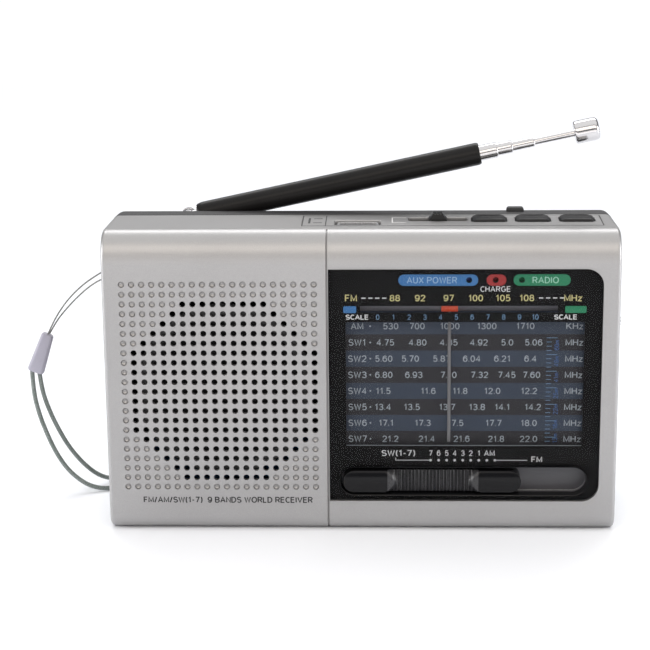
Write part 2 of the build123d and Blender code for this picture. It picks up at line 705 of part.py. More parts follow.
# ---- Volume control ----
with BuildPart() as volume_wheel:
    with BuildSketch(at_y(WHEEL_Y[1])):
        with Locations((VOLUME_X, VOLUME_Z)):
            Circle(VOLUME_R)
            Circle(2.05, mode=Mode.SUBTRACT)
            with PolarLocations(VOLUME_R + 0.15, 46):
                Circle(0.4, mode=Mode.SUBTRACT)
    extrude(amount=WHEEL_Y[1] - WHEEL_Y[0])
save(volume_wheel, "volume_wheel")

with BuildPart() as volume_pot:
    with BuildSketch(at_y(MAIN_BOARD_Y[0])):
        with Locations((VOLUME_X - 1.0, VOLUME_Z)):
            Rectangle(12.0, 12.0)
    extrude(amount=MAIN_BOARD_Y[0] - WHEEL_Y[1] - GAP)
    with BuildSketch(at_y(MAIN_BOARD_Y[0])):
        with Locations((VOLUME_X, VOLUME_Z)):
            Circle(2.0)
    extrude(amount=MAIN_BOARD_Y[0] - WHEEL_Y[0] + 0.4)
save(volume_pot, "volume_pot")

# ---- Band selector: tray, knob and slide switch ----
tray_front = mask_back
tray_floor = mask_back + 3.4
knob_front = FRONT_Y - 0.6
post_end = -9.0

with BuildPart() as band_tray:
    with BuildSketch(at_y(tray_floor + 1.0)):
        with Locations(middle(BAND_SLOT)):
            RectangleRounded(*size(BAND_SLOT, 1.0), 5.7)
    extrude(amount=tray_floor + 1.0 - tray_front)
    with BuildSketch(at_y(tray_floor)):
        with Locations(middle(BAND_SLOT)):
            RectangleRounded(*size(BAND_SLOT), 4.7)
    extrude(amount=5, mode=Mode.SUBTRACT)
    with BuildSketch(at_y(tray_floor + 2)):
        with Locations((BAND_KNOB[0] + 28.0 + BAND_TRAVEL / 2, 16.8)):
            Rectangle(BAND_TRAVEL + 4.0, 2.4)
    extrude(amount=4, mode=Mode.SUBTRACT)
save(band_tray, "band_tray")

with BuildPart() as band_knob:
    with BuildSketch(at_y(tray_floor - GAP)):
        with Locations(middle(BAND_KNOB)):
            RectangleRounded(*size(BAND_KNOB), 3.5)
    extrude(amount=tray_floor - GAP - knob_front)
    scoop_x = (9.5 + 36.0) / 2
    with BuildSketch(Plane.XY.offset(BAND_KNOB[2] - 1)):
        with Locations((scoop_x, knob_front - 70.6)):
            Circle(72.0)
    extrude(amount=12, mode=Mode.SUBTRACT)
    with BuildSketch(Plane.XY.offset(BAND_KNOB[2] - 1)):
        with Locations((scoop_x, knob_front + 1.2)):
            with GridLocations(1.1, 0, 24, 1):
                Rectangle(0.45, 1.2)
    extrude(amount=12, mode=Mode.SUBTRACT)
    with BuildSketch(at_y(post_end)):
        with Locations((BAND_KNOB[0] + 28.0, 16.8)):
            Rectangle(3.0, 1.8)
    extrude(amount=post_end - tray_floor + GAP + 1.0)
save(band_knob, "band_knob")

with BuildPart() as band_switch_body:
    with BuildSketch(at_y(MAIN_BOARD_Y[0])):
        with Locations((32.0, 16.8)):
            Rectangle(56.0, 9.0)
    extrude(amount=MAIN_BOARD_Y[0] + 12.0)
    with BuildSketch(at_y(-8.0)):
        with Locations((BAND_KNOB[0] + 28.0 + BAND_TRAVEL / 2, 16.8)):
            Rectangle(BAND_TRAVEL + 4.2, 2.6)
    extrude(amount=6, mode=Mode.SUBTRACT)
save(band_switch_body, "band_switch_body")

# ---- Loudspeaker ----
with BuildPart() as speaker_frame:
    with BuildSketch(Plane.XY.offset(SPEAKER_Z)):
        with BuildLine():
            profile = [
                (SPEAKER_X + 14.6, -6.4),
                (SPEAKER_X + 14.6, -5.4),
                (SPEAKER_X + 17.0, -5.4),
                (SPEAKER_X + 26.0, -16.6),
                (SPEAKER_X + SPEAKER_R, -16.6),
                (SPEAKER_X + SPEAKER_R, -19.9),
                (SPEAKER_X + 25.6, -19.9),
                (SPEAKER_X + 25.6, -17.6),
                (SPEAKER_X + 16.4, -6.4),
            ]
            Polyline(*profile, close=True)
        make_face()
    revolve(axis=Axis((SPEAKER_X, 0, SPEAKER_Z), (0, 1, 0)))
save(speaker_frame, "speaker_frame")

with BuildPart() as speaker_magnet:
    with BuildSketch(at_y(3.0)):
        with Locations((SPEAKER_X, SPEAKER_Z)):
            Circle(14.4)
    extrude(amount=9.4)
    fillet(speaker_magnet.faces().sort_by(Axis.Y)[-1].edges(), 1.0)
save(speaker_magnet, "speaker_magnet")

with BuildPart() as speaker_cone:
    with BuildSketch(Plane.XY.offset(SPEAKER_Z)):
        with BuildLine():
            Polyline(
                (SPEAKER_X + 8.0, -10.4),
                (SPEAKER_X + 8.0, -9.7),
                (SPEAKER_X + 22.0, -17.4),
                (SPEAKER_X + 25.4, -17.4),
                (SPEAKER_X + 25.4, -18.1),
                (SPEAKER_X + 21.8, -18.1),
                close=True,
            )
        make_face()
    revolve(axis=Axis((SPEAKER_X, 0, SPEAKER_Z), (0, 1, 0)))
save(speaker_cone, "speaker_cone")

with BuildPart() as speaker_dust_cap:
    with BuildSketch(Plane.XY.offset(SPEAKER_Z)):
        with BuildLine():
            Polyline(
                (SPEAKER_X + 8.6, -11.3),
                (SPEAKER_X + 8.6, -10.9),
                (SPEAKER_X, -10.9),
                (SPEAKER_X, -14.2),
            )
            ThreePointArc((SPEAKER_X, -14.2), (SPEAKER_X + 4.6, -13.4), (SPEAKER_X + 8.6, -11.3))
        make_face()
    revolve(axis=Axis((SPEAKER_X, 0, SPEAKER_Z), (0, 1, 0)))
save(speaker_dust_cap, "speaker_dust_cap")

# ---- Battery, its contacts and the earphone jack ----
with BuildPart() as battery_cell:
    with BuildSketch(Plane.YZ.offset(CELL_X[0])):
        with Locations((CELL_Y, CELL_Z)):
            Circle(CELL_R)
    extrude(amount=CELL_X[1] - CELL_X[0] - 1.4)
    fillet(battery_cell.edges().filter_by(GeomType.CIRCLE), 0.8)
    with BuildSketch(Plane.YZ.offset(CELL_X[1] - 1.4)):
        with Locations((CELL_Y, CELL_Z)):
            Circle(3.0)
    extrude(amount=1.4)
save(battery_cell, "battery_cell")

with BuildPart() as battery_contacts:
    with BuildSketch(Plane.YZ.offset(CELL_X[0] - 0.6)):
        with Locations((CELL_Y, CELL_Z)):
            Rectangle(9.0, 12.0)
    extrude(amount=0.5)
    with BuildSketch(Plane.YZ.offset(CELL_X[1] + 0.1)):
        with Locations((CELL_Y, CELL_Z)):
            Rectangle(9.0, 12.0)
    extrude(amount=0.5)
save(battery_contacts, "battery_contacts")

with BuildPart() as earphone_jack:
    with BuildSketch(Plane.YZ.offset(-WIDTH / 2 + 3.7)):
        with Locations((0, JACK_Z)):
            Rectangle(6.4, 6.4)
    extrude(amount=12.0)
    with BuildSketch(Plane.YZ.offset(-WIDTH / 2 + 1.1)):
        with Locations((0, JACK_Z)):
            Circle(3.0)
    extrude(amount=2.6)
    with BuildSketch(Plane.YZ.offset(-WIDTH / 2)):
        with Locations((0, JACK_Z)):
            Circle(JACK_R)
    extrude(amount=14.2, mode=Mode.SUBTRACT)
save(earphone_jack, "earphone_jack")

# ---- Telescopic antenna ----
with BuildPart() as antenna_foot:
    with BuildSketch(Plane.XY.offset(LEDGE_Z - WALL - 2.0)):
        with Locations((ANTENNA_X, ANTENNA_Y)):
            Circle(NUT_R)
    extrude(amount=1.7)
    with BuildSketch(Plane.XY.offset(LEDGE_Z - WALL - 0.4)):
        with Locations((ANTENNA_X, ANTENNA_Y)):
            Circle(POST_R)
    extrude(amount=WALL + 0.4 + GAP)
    with BuildSketch(Plane.XY.offset(LEDGE_Z + 0.2)):
        with Locations((ANTENNA_X, ANTENNA_Y)):
            Circle(3.1)
    extrude(amount=0.9)
    for ear_y in (ANTENNA_Y - 1.6, ANTENNA_Y + 3.0):
        with BuildSketch(at_y(ear_y)):
            with Locations((ANTENNA_X, ANTENNA_Z)):
                Circle(EAR_R)
            with Locations((ANTENNA_X, LEDGE_Z + 1.0)):
                Rectangle(2 * EAR_R, ANTENNA_Z - LEDGE_Z - 1.0, align=(Align.CENTER, Align.MIN))
        extrude(amount=1.4)
    with BuildSketch(at_y(ANTENNA_Y + 5)):
        with Locations((ANTENNA_X, ANTENNA_Z)):
            Circle(1.0)
    extrude(amount=10, mode=Mode.SUBTRACT)
save(antenna_foot, "antenna_foot")

with BuildPart() as antenna_pin:
    with BuildSketch(at_y(ANTENNA_Y + 3.2)):
        with Locations((ANTENNA_X, ANTENNA_Z)):
            Circle(1.0)
    extrude(amount=6.4)
save(antenna_pin, "antenna_pin")

bore_r = TUBE_RADII[0] + SLIDING_FIT

with BuildPart() as antenna_base:
    with BuildSketch(at_y(ANTENNA_Y + 1.3)):
        with Locations((ANTENNA_X, ANTENNA_Z)):
            Circle(2.6)
        with Locations(Location((ANTENNA_X, ANTENNA_Z, 0), (0, 0, ANTENNA_LIFT))):
            Rectangle(SLEEVE[0] + 1.2, 4.4, align=(Align.MIN, Align.CENTER))
    extrude(amount=2.6)
    with BuildSketch(antenna_plane(SLEEVE[0])):
        Circle(bore_r + 0.45)
    extrude(amount=SLEEVE[1] - SLEEVE[0])
    with BuildSketch(antenna_plane(SLEEVE[0] + 3.0)):
        Circle(bore_r)
    extrude(amount=SLEEVE[1], mode=Mode.SUBTRACT)
    with BuildSketch(at_y(ANTENNA_Y + 5)):
        with Locations((ANTENNA_X, ANTENNA_Z)):
            Circle(1.0 + SLIDING_FIT)
    extrude(amount=10, mode=Mode.SUBTRACT)
save(antenna_base, "antenna_base")

with BuildPart() as antenna_sleeve:
    with BuildSketch(antenna_plane(SLEEVE[0])):
        Circle(3.65)
        Circle(bore_r + 0.45, mode=Mode.SUBTRACT)
    extrude(amount=SLEEVE[1] - SLEEVE[0])
save(antenna_sleeve, "antenna_sleeve")

tip = SLEEVE[1]
for number, (tube_r, shown, length) in enumerate(zip(TUBE_RADII, EXPOSED, TUBE_LENGTHS), start=1):
    tip += shown
    tube_name = "antenna_rod" if number == 4 else f"antenna_section_{number}"
    with BuildPart() as tube:
        with BuildSketch(antenna_plane(tip - length)):
            Circle(tube_r)
            if number < 4:
                Circle(TUBE_RADII[number] + SLIDING_FIT, mode=Mode.SUBTRACT)
        extrude(amount=length)
    save(tube, tube_name)

with BuildPart() as antenna_cap:
    with BuildSketch(antenna_plane(tip)):
        Circle(CAP_R)
    extrude(amount=CAP_LENGTH)
    fillet(antenna_cap.faces().sort_by(Axis.X)[-1].edges(), 1.0)
save(antenna_cap, "antenna_cap")

# ---- Wrist strap: a thin thread loop round the bar, a bead and a braided loop ----
THREAD_R = 0.25
BRAID_R = 0.75
BEAD_TOP = (-104.5, 15.0, 55.3)
BEAD_LOW = (-109.4, 16.0, 42.2)

thread_route = [
    (-104.7, 14.8, 54.9),
    (-102.9, 14.7, 58.7),
    (-100.6, 14.4, 62.7),
    (-97.2, 14.0, 67.4),
    (-92.2, 13.4, 72.4),
    (-87.0, 12.9, 76.0),
    (-83.7, 12.5, 77.86),
    (-80.62, 12.3, 79.64),
    (-79.62, 11.9, 77.9),
    (-82.65, 11.7, 76.04),
    (-88.4, 12.5, 73.2),
    (-93.9, 13.7, 68.4),
    (-98.0, 14.4, 64.0),
    (-101.4, 15.0, 59.9),
    (-104.0, 15.2, 55.4),
]

braid_route = [
    (-110.6, 15.9, 42.9),
    (-110.5, 15.8, 35.3),
    (-109.0, 15.7, 27.7),
    (-106.6, 15.6, 20.4),
    (-103.6, 15.5, 13.3),
    (-99.8, 15.3, 7.4),
    (-94.9, 15.0, 3.2),
    (-90.4, 14.9, 1.3),
    (-85.6, 16.0, 0.78),
    (-82.2, 20.0, 0.78),
    (-80.0, 26.0, 0.78),
    (-73.0, 29.8, 0.78),
    (-61.0, 28.4, 0.78),
    (-48.0, 27.2, 0.78),
    (-35.0, 28.6, 0.78),
    (-25.2, 31.0, 0.78),
    (-21.8, 36.6, 0.78),
    (-25.0, 42.4, 0.78),
    (-34.4, 44.8, 0.78),
    (-47.6, 43.0, 0.78),
    (-60.6, 41.4, 0.78),
    (-73.4, 38.6, 0.78),
    (-81.6, 32.0, 0.78),
    (-86.6, 24.4, 1.1),
    (-91.3, 21.6, 3.9),
    (-95.6, 20.2, 8.4),
    (-99.7, 18.8, 14.4),
    (-103.1, 17.6, 21.6),
    (-105.9, 16.8, 29.0),
    (-107.8, 16.3, 36.2),
    (-108.3, 16.2, 42.7),
]


def corner_radii(route):
    """The largest arc at each inner point that its two runs leave room for."""
    points = [Vector(*point) for point in route]
    radii = []
    for before, here, after in zip(points, points[1:], points[2:]):
        turn = radians((here - before).get_angle(after - here))
        shorter = min((here - before).length, (after - here).length)
        radii.append(0.45 * shorter / tan(turn / 2))
    return radii


def cord_tube(route, tube_r, name):
    """A cord of round section along straight runs joined by tangent arcs."""
    radii = corner_radii(route)
    print(name, "radii", [round(radius, 2) for radius in radii])
    with BuildPart() as tube:
        with BuildLine() as line:
            FilletPolyline(*route, radius=radii)
        path = line.wires()[0]
        with BuildSketch(Plane(origin=path @ 0, z_dir=path % 0)):
            Circle(tube_r)
        sweep(path=path)
    section = pi * tube_r**2
    print(name, "length", round(path.length, 1))
    print(name, "volume", round(tube.part.volume, 2), "expected", round(section * path.length, 2))
    save(tube, name)


cord_tube(thread_route, THREAD_R, "strap_thread")
cord_tube(braid_route, BRAID_R, "strap_cord")

bead_way = Vector(*BEAD_TOP) - Vector(*BEAD_LOW)

with BuildPart() as strap_bead:
    with BuildSketch(Plane(origin=BEAD_LOW, x_dir=(0, 1, 0), z_dir=bead_way)) as low_end:
        RectangleRounded(3.6, 5.7, 1.5)
    with BuildSketch(Plane(origin=BEAD_TOP, x_dir=(0, 1, 0), z_dir=bead_way)) as high_end:
        RectangleRounded(2.8, 4.0, 1.2)
    loft([low_end.sketch, high_end.sketch])
save(strap_bead, "strap_bead")
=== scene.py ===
import json
import math

import bmesh
import bpy
from mathutils import Matrix, Vector

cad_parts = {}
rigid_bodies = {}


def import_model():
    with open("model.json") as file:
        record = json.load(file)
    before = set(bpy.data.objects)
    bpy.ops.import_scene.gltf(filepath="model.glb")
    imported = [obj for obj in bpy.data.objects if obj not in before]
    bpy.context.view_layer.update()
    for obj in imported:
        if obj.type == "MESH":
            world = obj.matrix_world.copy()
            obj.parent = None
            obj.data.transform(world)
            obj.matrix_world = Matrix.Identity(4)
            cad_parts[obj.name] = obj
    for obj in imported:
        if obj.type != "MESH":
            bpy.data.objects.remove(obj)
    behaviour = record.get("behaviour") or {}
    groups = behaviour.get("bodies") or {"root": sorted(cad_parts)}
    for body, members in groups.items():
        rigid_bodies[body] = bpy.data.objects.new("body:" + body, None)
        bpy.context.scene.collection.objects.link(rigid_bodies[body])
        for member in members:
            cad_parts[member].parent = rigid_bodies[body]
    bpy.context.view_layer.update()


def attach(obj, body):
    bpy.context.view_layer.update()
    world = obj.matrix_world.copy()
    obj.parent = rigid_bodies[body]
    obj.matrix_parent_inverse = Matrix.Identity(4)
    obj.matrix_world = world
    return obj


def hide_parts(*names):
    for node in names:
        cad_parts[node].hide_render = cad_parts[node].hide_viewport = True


# A portable shortwave receiver. X runs to the right, Y to the back and Z up.
# Meshes are drawn in millimetres and scaled to metres as they become objects.
MM = 0.001

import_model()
scene = bpy.context.scene
collection = scene.collection


# ---------------------------------------------------------------- camera
CAMERA_PLACE = Vector((10.1, -604.6, 221.7)) * MM
CAMERA_YAW = math.radians(-2.07)
CAMERA_PITCH = math.radians(14.76)
CAMERA_ROLL = math.radians(0.57)
CAMERA_LENS = 107.43


def add_camera():
    """The camera of the product picture: slightly above, almost square on."""
    forward = Vector(
        (
            math.sin(CAMERA_YAW) * math.cos(CAMERA_PITCH),
            math.cos(CAMERA_YAW) * math.cos(CAMERA_PITCH),
            -math.sin(CAMERA_PITCH),
        )
    )
    level = Vector((math.cos(CAMERA_YAW), -math.sin(CAMERA_YAW), 0.0))
    down = forward.cross(level)
    right = math.cos(CAMERA_ROLL) * level + math.sin(CAMERA_ROLL) * down
    lower = -math.sin(CAMERA_ROLL) * level + math.cos(CAMERA_ROLL) * down
    turn = Matrix((right, -lower, -forward)).transposed().to_4x4()
    data = bpy.data.cameras.new("camera")
    data.lens = CAMERA_LENS
    data.sensor_width = 36.0
    data.clip_start = 0.01
    camera = bpy.data.objects.new("camera", data)
    camera.matrix_world = Matrix.Translation(CAMERA_PLACE) @ turn
    collection.objects.link(camera)
    scene.camera = camera


add_camera()


# ---------------------------------------------------------------- materials
def new_material(name):
    """An empty node material, its tree and its shader."""
    material = bpy.data.materials.new(name)
    material.use_nodes = True
    tree = material.node_tree
    shader = tree.nodes["Principled BSDF"]
    return material, tree, shader


def noise(tree, scale, detail=3.0):
    """Noise over the object's own coordinates, in features per metre."""
    place = tree.nodes.new("ShaderNodeTexCoord")
    texture = tree.nodes.new("ShaderNodeTexNoise")
    texture.inputs["Scale"].default_value = scale
    texture.inputs["Detail"].default_value = detail
    tree.links.new(place.outputs["Object"], texture.inputs["Vector"])
    return texture.outputs["Fac"]


def spread(tree, value, low, high):
    """Maps the useful part of a noise to low..high."""
    node = tree.nodes.new("ShaderNodeMapRange")
    node.inputs["From Min"].default_value = 0.3
    node.inputs["From Max"].default_value = 0.7
    node.inputs["To Min"].default_value = low
    node.inputs["To Max"].default_value = high
    tree.links.new(value, node.inputs["Value"])
    return node.outputs["Result"]


def ramp(tree, value, *stops):
    """A colour ramp over a value. Each stop is a place and a colour."""
    node = tree.nodes.new("ShaderNodeValToRGB")
    points = node.color_ramp.elements
    while len(points) < len(stops):
        points.new(0.5)
    for point, (place, color) in zip(points, stops):
        point.position = place
        point.color = (*color, 1.0)
    tree.links.new(value, node.inputs["Fac"])
    return node.outputs["Color"]


def multiply(tree, one, two):
    """The product of two colours."""
    mix = tree.nodes.new("ShaderNodeMix")
    mix.data_type = "RGBA"
    mix.blend_type = "MULTIPLY"
    mix.inputs["Factor"].default_value = 1.0
    tree.links.new(one, mix.inputs["A"])
    tree.links.new(two, mix.inputs["B"])
    return mix.outputs["Result"]


def add_bump(tree, shader, value, strength, distance):
    """Bump from a value; distance is in metres."""
    bump = tree.nodes.new("ShaderNodeBump")
    bump.inputs["Strength"].default_value = strength
    bump.inputs["Distance"].default_value = distance
    tree.links.new(value, bump.inputs["Height"])
    tree.links.new(bump.outputs["Normal"], shader.inputs["Normal"])


def shaded(color, factor):
    """A colour made lighter or darker."""
    return tuple(min(1.0, channel * factor) for channel in color)


def finish_material(name, color, rough, metallic=0.0, vary=0.08, grain=2500.0, bump=0.1, gloss=0.5):
    """A moulded, painted or plated finish: mottled colour, uneven gloss and a fine surface grain."""
    material, tree, shader = new_material(name)
    broad = noise(tree, 60.0, 4.0)
    fine = noise(tree, grain, 2.0)
    tint = ramp(tree, broad, (0.3, shaded(color, 1.0 - vary)), (0.7, shaded(color, 1.0 + vary)))
    tree.links.new(tint, shader.inputs["Base Color"])
    tree.links.new(spread(tree, fine, rough * 0.85, rough * 1.15), shader.inputs["Roughness"])
    shader.inputs["Metallic"].default_value = metallic
    shader.inputs["Specular IOR Level"].default_value = gloss
    add_bump(tree, shader, fine, bump, 0.00003)
    return material


def silver_material():
    """Silver paint on plastic: metal flakes under a satin lacquer."""
    material, tree, shader = new_material("silver_paint")
    broad = noise(tree, 25.0, 3.0)
    flake = noise(tree, 5200.0, 1.0)
    body = ramp(tree, broad, (0.3, (0.39, 0.385, 0.385)), (0.7, (0.41, 0.405, 0.405)))
    sparkle = ramp(tree, flake, (0.35, (0.9, 0.9, 0.91)), (0.65, (1.0, 1.0, 1.0)))
    tree.links.new(multiply(tree, body, sparkle), shader.inputs["Base Color"])
    tree.links.new(spread(tree, flake, 0.34, 0.46), shader.inputs["Roughness"])
    shader.inputs["Metallic"].default_value = 0.75
    shader.inputs["Coat Weight"].default_value = 0.15
    shader.inputs["Coat Roughness"].default_value = 0.25
    add_bump(tree, shader, flake, 0.12, 0.00002)
    return material


def chrome_material(color, rough):
    """Polished plating with faint turning marks and fingerprints."""
    material, tree, shader = new_material("chrome")
    smudge = noise(tree, 120.0, 5.0)
    tree.links.new(ramp(tree, smudge, (0.3, shaded(color, 0.93)), (0.7, color)), shader.inputs["Base Color"])
    tree.links.new(spread(tree, smudge, rough * 0.7, rough * 1.6), shader.inputs["Roughness"])
    shader.inputs["Metallic"].default_value = 1.0
    add_bump(tree, shader, noise(tree, 3000.0, 1.0), 0.03, 0.00001)
    return material


def lens_material():
    """A clear polished window. It lets the dial through and keeps its gloss."""
    material, tree, shader = new_material("window_lens")
    haze = noise(tree, 90.0, 4.0)
    tree.links.new(spread(tree, haze, 0.02, 0.05), shader.inputs["Roughness"])
    shader.inputs["Base Color"].default_value = (0.012, 0.012, 0.014, 1.0)
    shader.inputs["Alpha"].default_value = 0.12
    shader.inputs["IOR"].default_value = 1.3
    return material


def printed(name, color):
    """Screen-printed ink: slightly uneven cover."""
    material, tree, shader = new_material(name)
    cover = noise(tree, 1800.0, 2.0)
    tint = ramp(tree, cover, (0.3, shaded(color, 0.86)), (0.7, color))
    tree.links.new(tint, shader.inputs["Base Color"])
    shader.inputs["Roughness"].default_value = 0.55
    return material


def braid_material(name, light, dark):
    """Twisted polyester yarn: fine lengthwise fibres with a soft sheen."""
    material, tree, shader = new_material(name)
    fibre = noise(tree, 4200.0, 3.0)
    broad = noise(tree, 260.0, 2.0)
    tint = ramp(tree, fibre, (0.3, dark), (0.7, light))
    shade = ramp(tree, broad, (0.3, (0.8, 0.82, 0.8)), (0.7, (1.0, 1.0, 1.0)))
    tree.links.new(multiply(tree, tint, shade), shader.inputs["Base Color"])
    shader.inputs["Roughness"].default_value = 0.8
    shader.inputs["Sheen Weight"].default_value = 0.3
    add_bump(tree, shader, fibre, 0.5, 0.00005)
    return material


SILVER = silver_material()
DARK = finish_material("dark_moulding", (0.04, 0.04, 0.042), 0.5, bump=0.3, gloss=0.35)
BUTTON = finish_material("button_moulding", (0.02, 0.02, 0.021), 0.36, bump=0.15, gloss=0.2)
GLOSS_BLACK = finish_material("gloss_black", (0.006, 0.006, 0.007), 0.14, vary=0.05, bump=0.02, gloss=0.2)
GRIP_BLACK = finish_material("grip_black", (0.03, 0.03, 0.033), 0.3, vary=0.05, bump=0.05, gloss=0.5)
MASK_BLACK = finish_material(
    "mask_black", (0.006, 0.006, 0.0062), 0.5, vary=0.04, grain=300.0, bump=0.01, gloss=0.08
)
TRAY_GREY = finish_material("tray_grey", (0.09, 0.09, 0.1), 0.34, bump=0.15)
SLOT_GREY = finish_material("slot_grey", (0.3, 0.3, 0.34), 0.5, bump=0.1)
CHASSIS_GREY = finish_material("chassis_grey", (0.12, 0.12, 0.135), 0.5, bump=0.2)
SLEEVE_BLACK = finish_material("sleeve_black", (0.01, 0.0095, 0.0095), 0.32, vary=0.12, bump=0.05, gloss=0.16)
CHROME = chrome_material(color=(0.62, 0.61, 0.62), rough=0.12)
STEEL = finish_material("plated_steel", (0.5, 0.5, 0.51), 0.3, metallic=1.0, vary=0.06, bump=0.1)
RED = finish_material("pointer_red", (0.9, 0.11, 0.045), 0.35, bump=0.05)
NEEDLE = finish_material("needle_grey", (0.2, 0.2, 0.21), 0.4, bump=0.05)
WHITE_PLASTIC = finish_material("white_moulding", (0.72, 0.71, 0.68), 0.45, bump=0.15)
BOARD = finish_material("circuit_board", (0.02, 0.11, 0.045), 0.4, vary=0.25, grain=900.0, bump=0.2)
COMPONENT = finish_material("black_moulding", (0.03, 0.03, 0.032), 0.5, bump=0.2)
FERRITE = finish_material("ferrite", (0.03, 0.03, 0.032), 0.6, vary=0.2, bump=0.4)
COPPER = finish_material("copper_wire", (0.62, 0.27, 0.12), 0.3, metallic=1.0, grain=4000.0, bump=0.5)
PAPER = finish_material("paper_cone", (0.02, 0.02, 0.021), 0.85, vary=0.25, grain=1500.0, bump=0.5)
MAGNET = finish_material("magnet", (0.06, 0.06, 0.062), 0.55, vary=0.15, bump=0.3)
CELL_WRAP = finish_material("cell_wrap", (0.04, 0.16, 0.42), 0.3, bump=0.05)
LED_BLUE = finish_material("led_blue", (0.03, 0.06, 0.2), 0.15, bump=0.02)
LED_RED = finish_material("led_red", (0.16, 0.012, 0.012), 0.15, bump=0.02)
LED_GREEN = finish_material("led_green", (0.01, 0.12, 0.05), 0.15, bump=0.02)
LENS = lens_material()
INK_WHITE = printed("mark_white", (0.8, 0.8, 0.8))
BEAD = finish_material("bead_lavender", (0.36, 0.35, 0.42), 0.4, vary=0.08, bump=0.1)
BRAID = braid_material("braid_yarn", (0.31, 0.34, 0.33), (0.09, 0.115, 0.11))
THREAD = braid_material("twisted_thread", (0.26, 0.26, 0.25), (0.11, 0.11, 0.11))


# ---------------------------------------------------------------- wrist strap
THREAD_R = 0.25
BRAID_R = 0.75

THREAD_ROUTE = [
    (-104.7, 14.8, 54.9),
    (-102.9, 14.7, 58.7),
    (-100.6, 14.4, 62.7),
    (-97.2, 14.0, 67.4),
    (-92.2, 13.4, 72.4),
    (-87.0, 12.9, 76.0),
    (-83.7, 12.5, 77.86),
    (-80.62, 12.3, 79.64),
    (-79.62, 11.9, 77.9),
    (-82.65, 11.7, 76.04),
    (-88.4, 12.5, 73.2),
    (-93.9, 13.7, 68.4),
    (-98.0, 14.4, 64.0),
    (-101.4, 15.0, 59.9),
    (-104.0, 15.2, 55.4),
]

BRAID_ROUTE = [
    (-110.6, 15.9, 42.9),
    (-110.5, 15.8, 35.3),
    (-109.0, 15.7, 27.7),
    (-106.6, 15.6, 20.4),
    (-103.6, 15.5, 13.3),
    (-99.8, 15.3, 7.4),
    (-94.9, 15.0, 3.2),
    (-90.4, 14.9, 1.3),
    (-85.6, 16.0, 0.78),
    (-82.2, 20.0, 0.78),
    (-80.0, 26.0, 0.78),
    (-73.0, 29.8, 0.78),
    (-61.0, 28.4, 0.78),
    (-48.0, 27.2, 0.78),
    (-35.0, 28.6, 0.78),
    (-25.2, 31.0, 0.78),
    (-21.8, 36.6, 0.78),
    (-25.0, 42.4, 0.78),
    (-34.4, 44.8, 0.78),
    (-47.6, 43.0, 0.78),
    (-60.6, 41.4, 0.78),
    (-73.4, 38.6, 0.78),
    (-81.6, 32.0, 0.78),
    (-86.6, 24.4, 1.1),
    (-91.3, 21.6, 3.9),
    (-95.6, 20.2, 8.4),
    (-99.7, 18.8, 14.4),
    (-103.1, 17.6, 21.6),
    (-105.9, 16.8, 29.0),
    (-107.8, 16.3, 36.2),
    (-108.3, 16.2, 42.7),
]


def cord_curve(name, route, radius, material):
    """One smooth NURBS cord along a given route."""
    data = bpy.data.curves.new(name, "CURVE")
    data.dimensions = "3D"
    spline = data.splines.new("NURBS")
    spline.points.add(len(route) - 1)
    for point, place in zip(spline.points, route):
        point.co = (*(Vector(place) * MM), 1.0)
    spline.order_u = 3
    spline.use_endpoint_u = True
    spline.resolution_u = 12
    data.bevel_depth = radius * MM
    data.bevel_resolution = 4
    data.use_fill_caps = True
    data.materials.append(material)
    obj = bpy.data.objects.new(name, data)
    collection.objects.link(obj)
    return obj


def add_strap():
    """The thin thread loop from the case to the bead and the braided loop below it."""
    thread = cord_curve("strap_thread_loop", THREAD_ROUTE, THREAD_R, THREAD)
    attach(thread, "case")
    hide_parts("strap_thread")
    braid = cord_curve("strap_braid_loop", BRAID_ROUTE, BRAID_R, BRAID)
    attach(braid, "case")
    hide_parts("strap_cord")


add_strap()


# ---------------------------------------------------------------- mesh helpers
# The body, slot and material of the silver and of the dark case pieces.
SILVER_CASE = ("case", "silver_plastic", SILVER)
DARK_CASE = ("case", "dark_plastic", DARK)


def make_object(name, bm, body, slot, *materials, replaces=(), smooth=32.0, bevel=0.0):
    """Turns a millimetre mesh into an object that rides on a body."""
    bmesh.ops.scale(bm, vec=(MM, MM, MM), verts=bm.verts)
    bmesh.ops.recalc_face_normals(bm, faces=bm.faces)
    mesh = bpy.data.meshes.new(name)
    bm.to_mesh(mesh)
    bm.free()
    for material in materials:
        mesh.materials.append(material)
    obj = bpy.data.objects.new(name, mesh)
    collection.objects.link(obj)
    if bevel:
        edge = obj.modifiers.new("edge", "BEVEL")
        edge.width = bevel * MM
        edge.segments = 2
        edge.limit_method = "ANGLE"
        edge.angle_limit = math.radians(35.0)
        apply_modifiers(obj)
        mesh = obj.data
    if smooth:
        mesh.polygons.foreach_set("use_smooth", [True] * len(mesh.polygons))
        mesh.set_sharp_from_angle(angle=math.radians(smooth))
    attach(obj, body)
    if replaces:
        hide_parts(*replaces)
    return obj


def apply_modifiers(obj):
    """Replaces the object's mesh by its evaluated mesh."""
    graph = bpy.context.evaluated_depsgraph_get()
    mesh = bpy.data.meshes.new_from_object(obj.evaluated_get(graph), depsgraph=graph)
    obj.modifiers.clear()
    obj.data = mesh


def add_loop(bm, points):
    """Adds points as a ring of vertices."""
    return [bm.verts.new(point) for point in points]


def bridge(bm, one, two, closed=True):
    """Faces between two rings of the same number of vertices."""
    count = len(one)
    for i in range(count if closed else count - 1):
        j = (i + 1) % count
        bm.faces.new((one[i], one[j], two[j], two[i]))


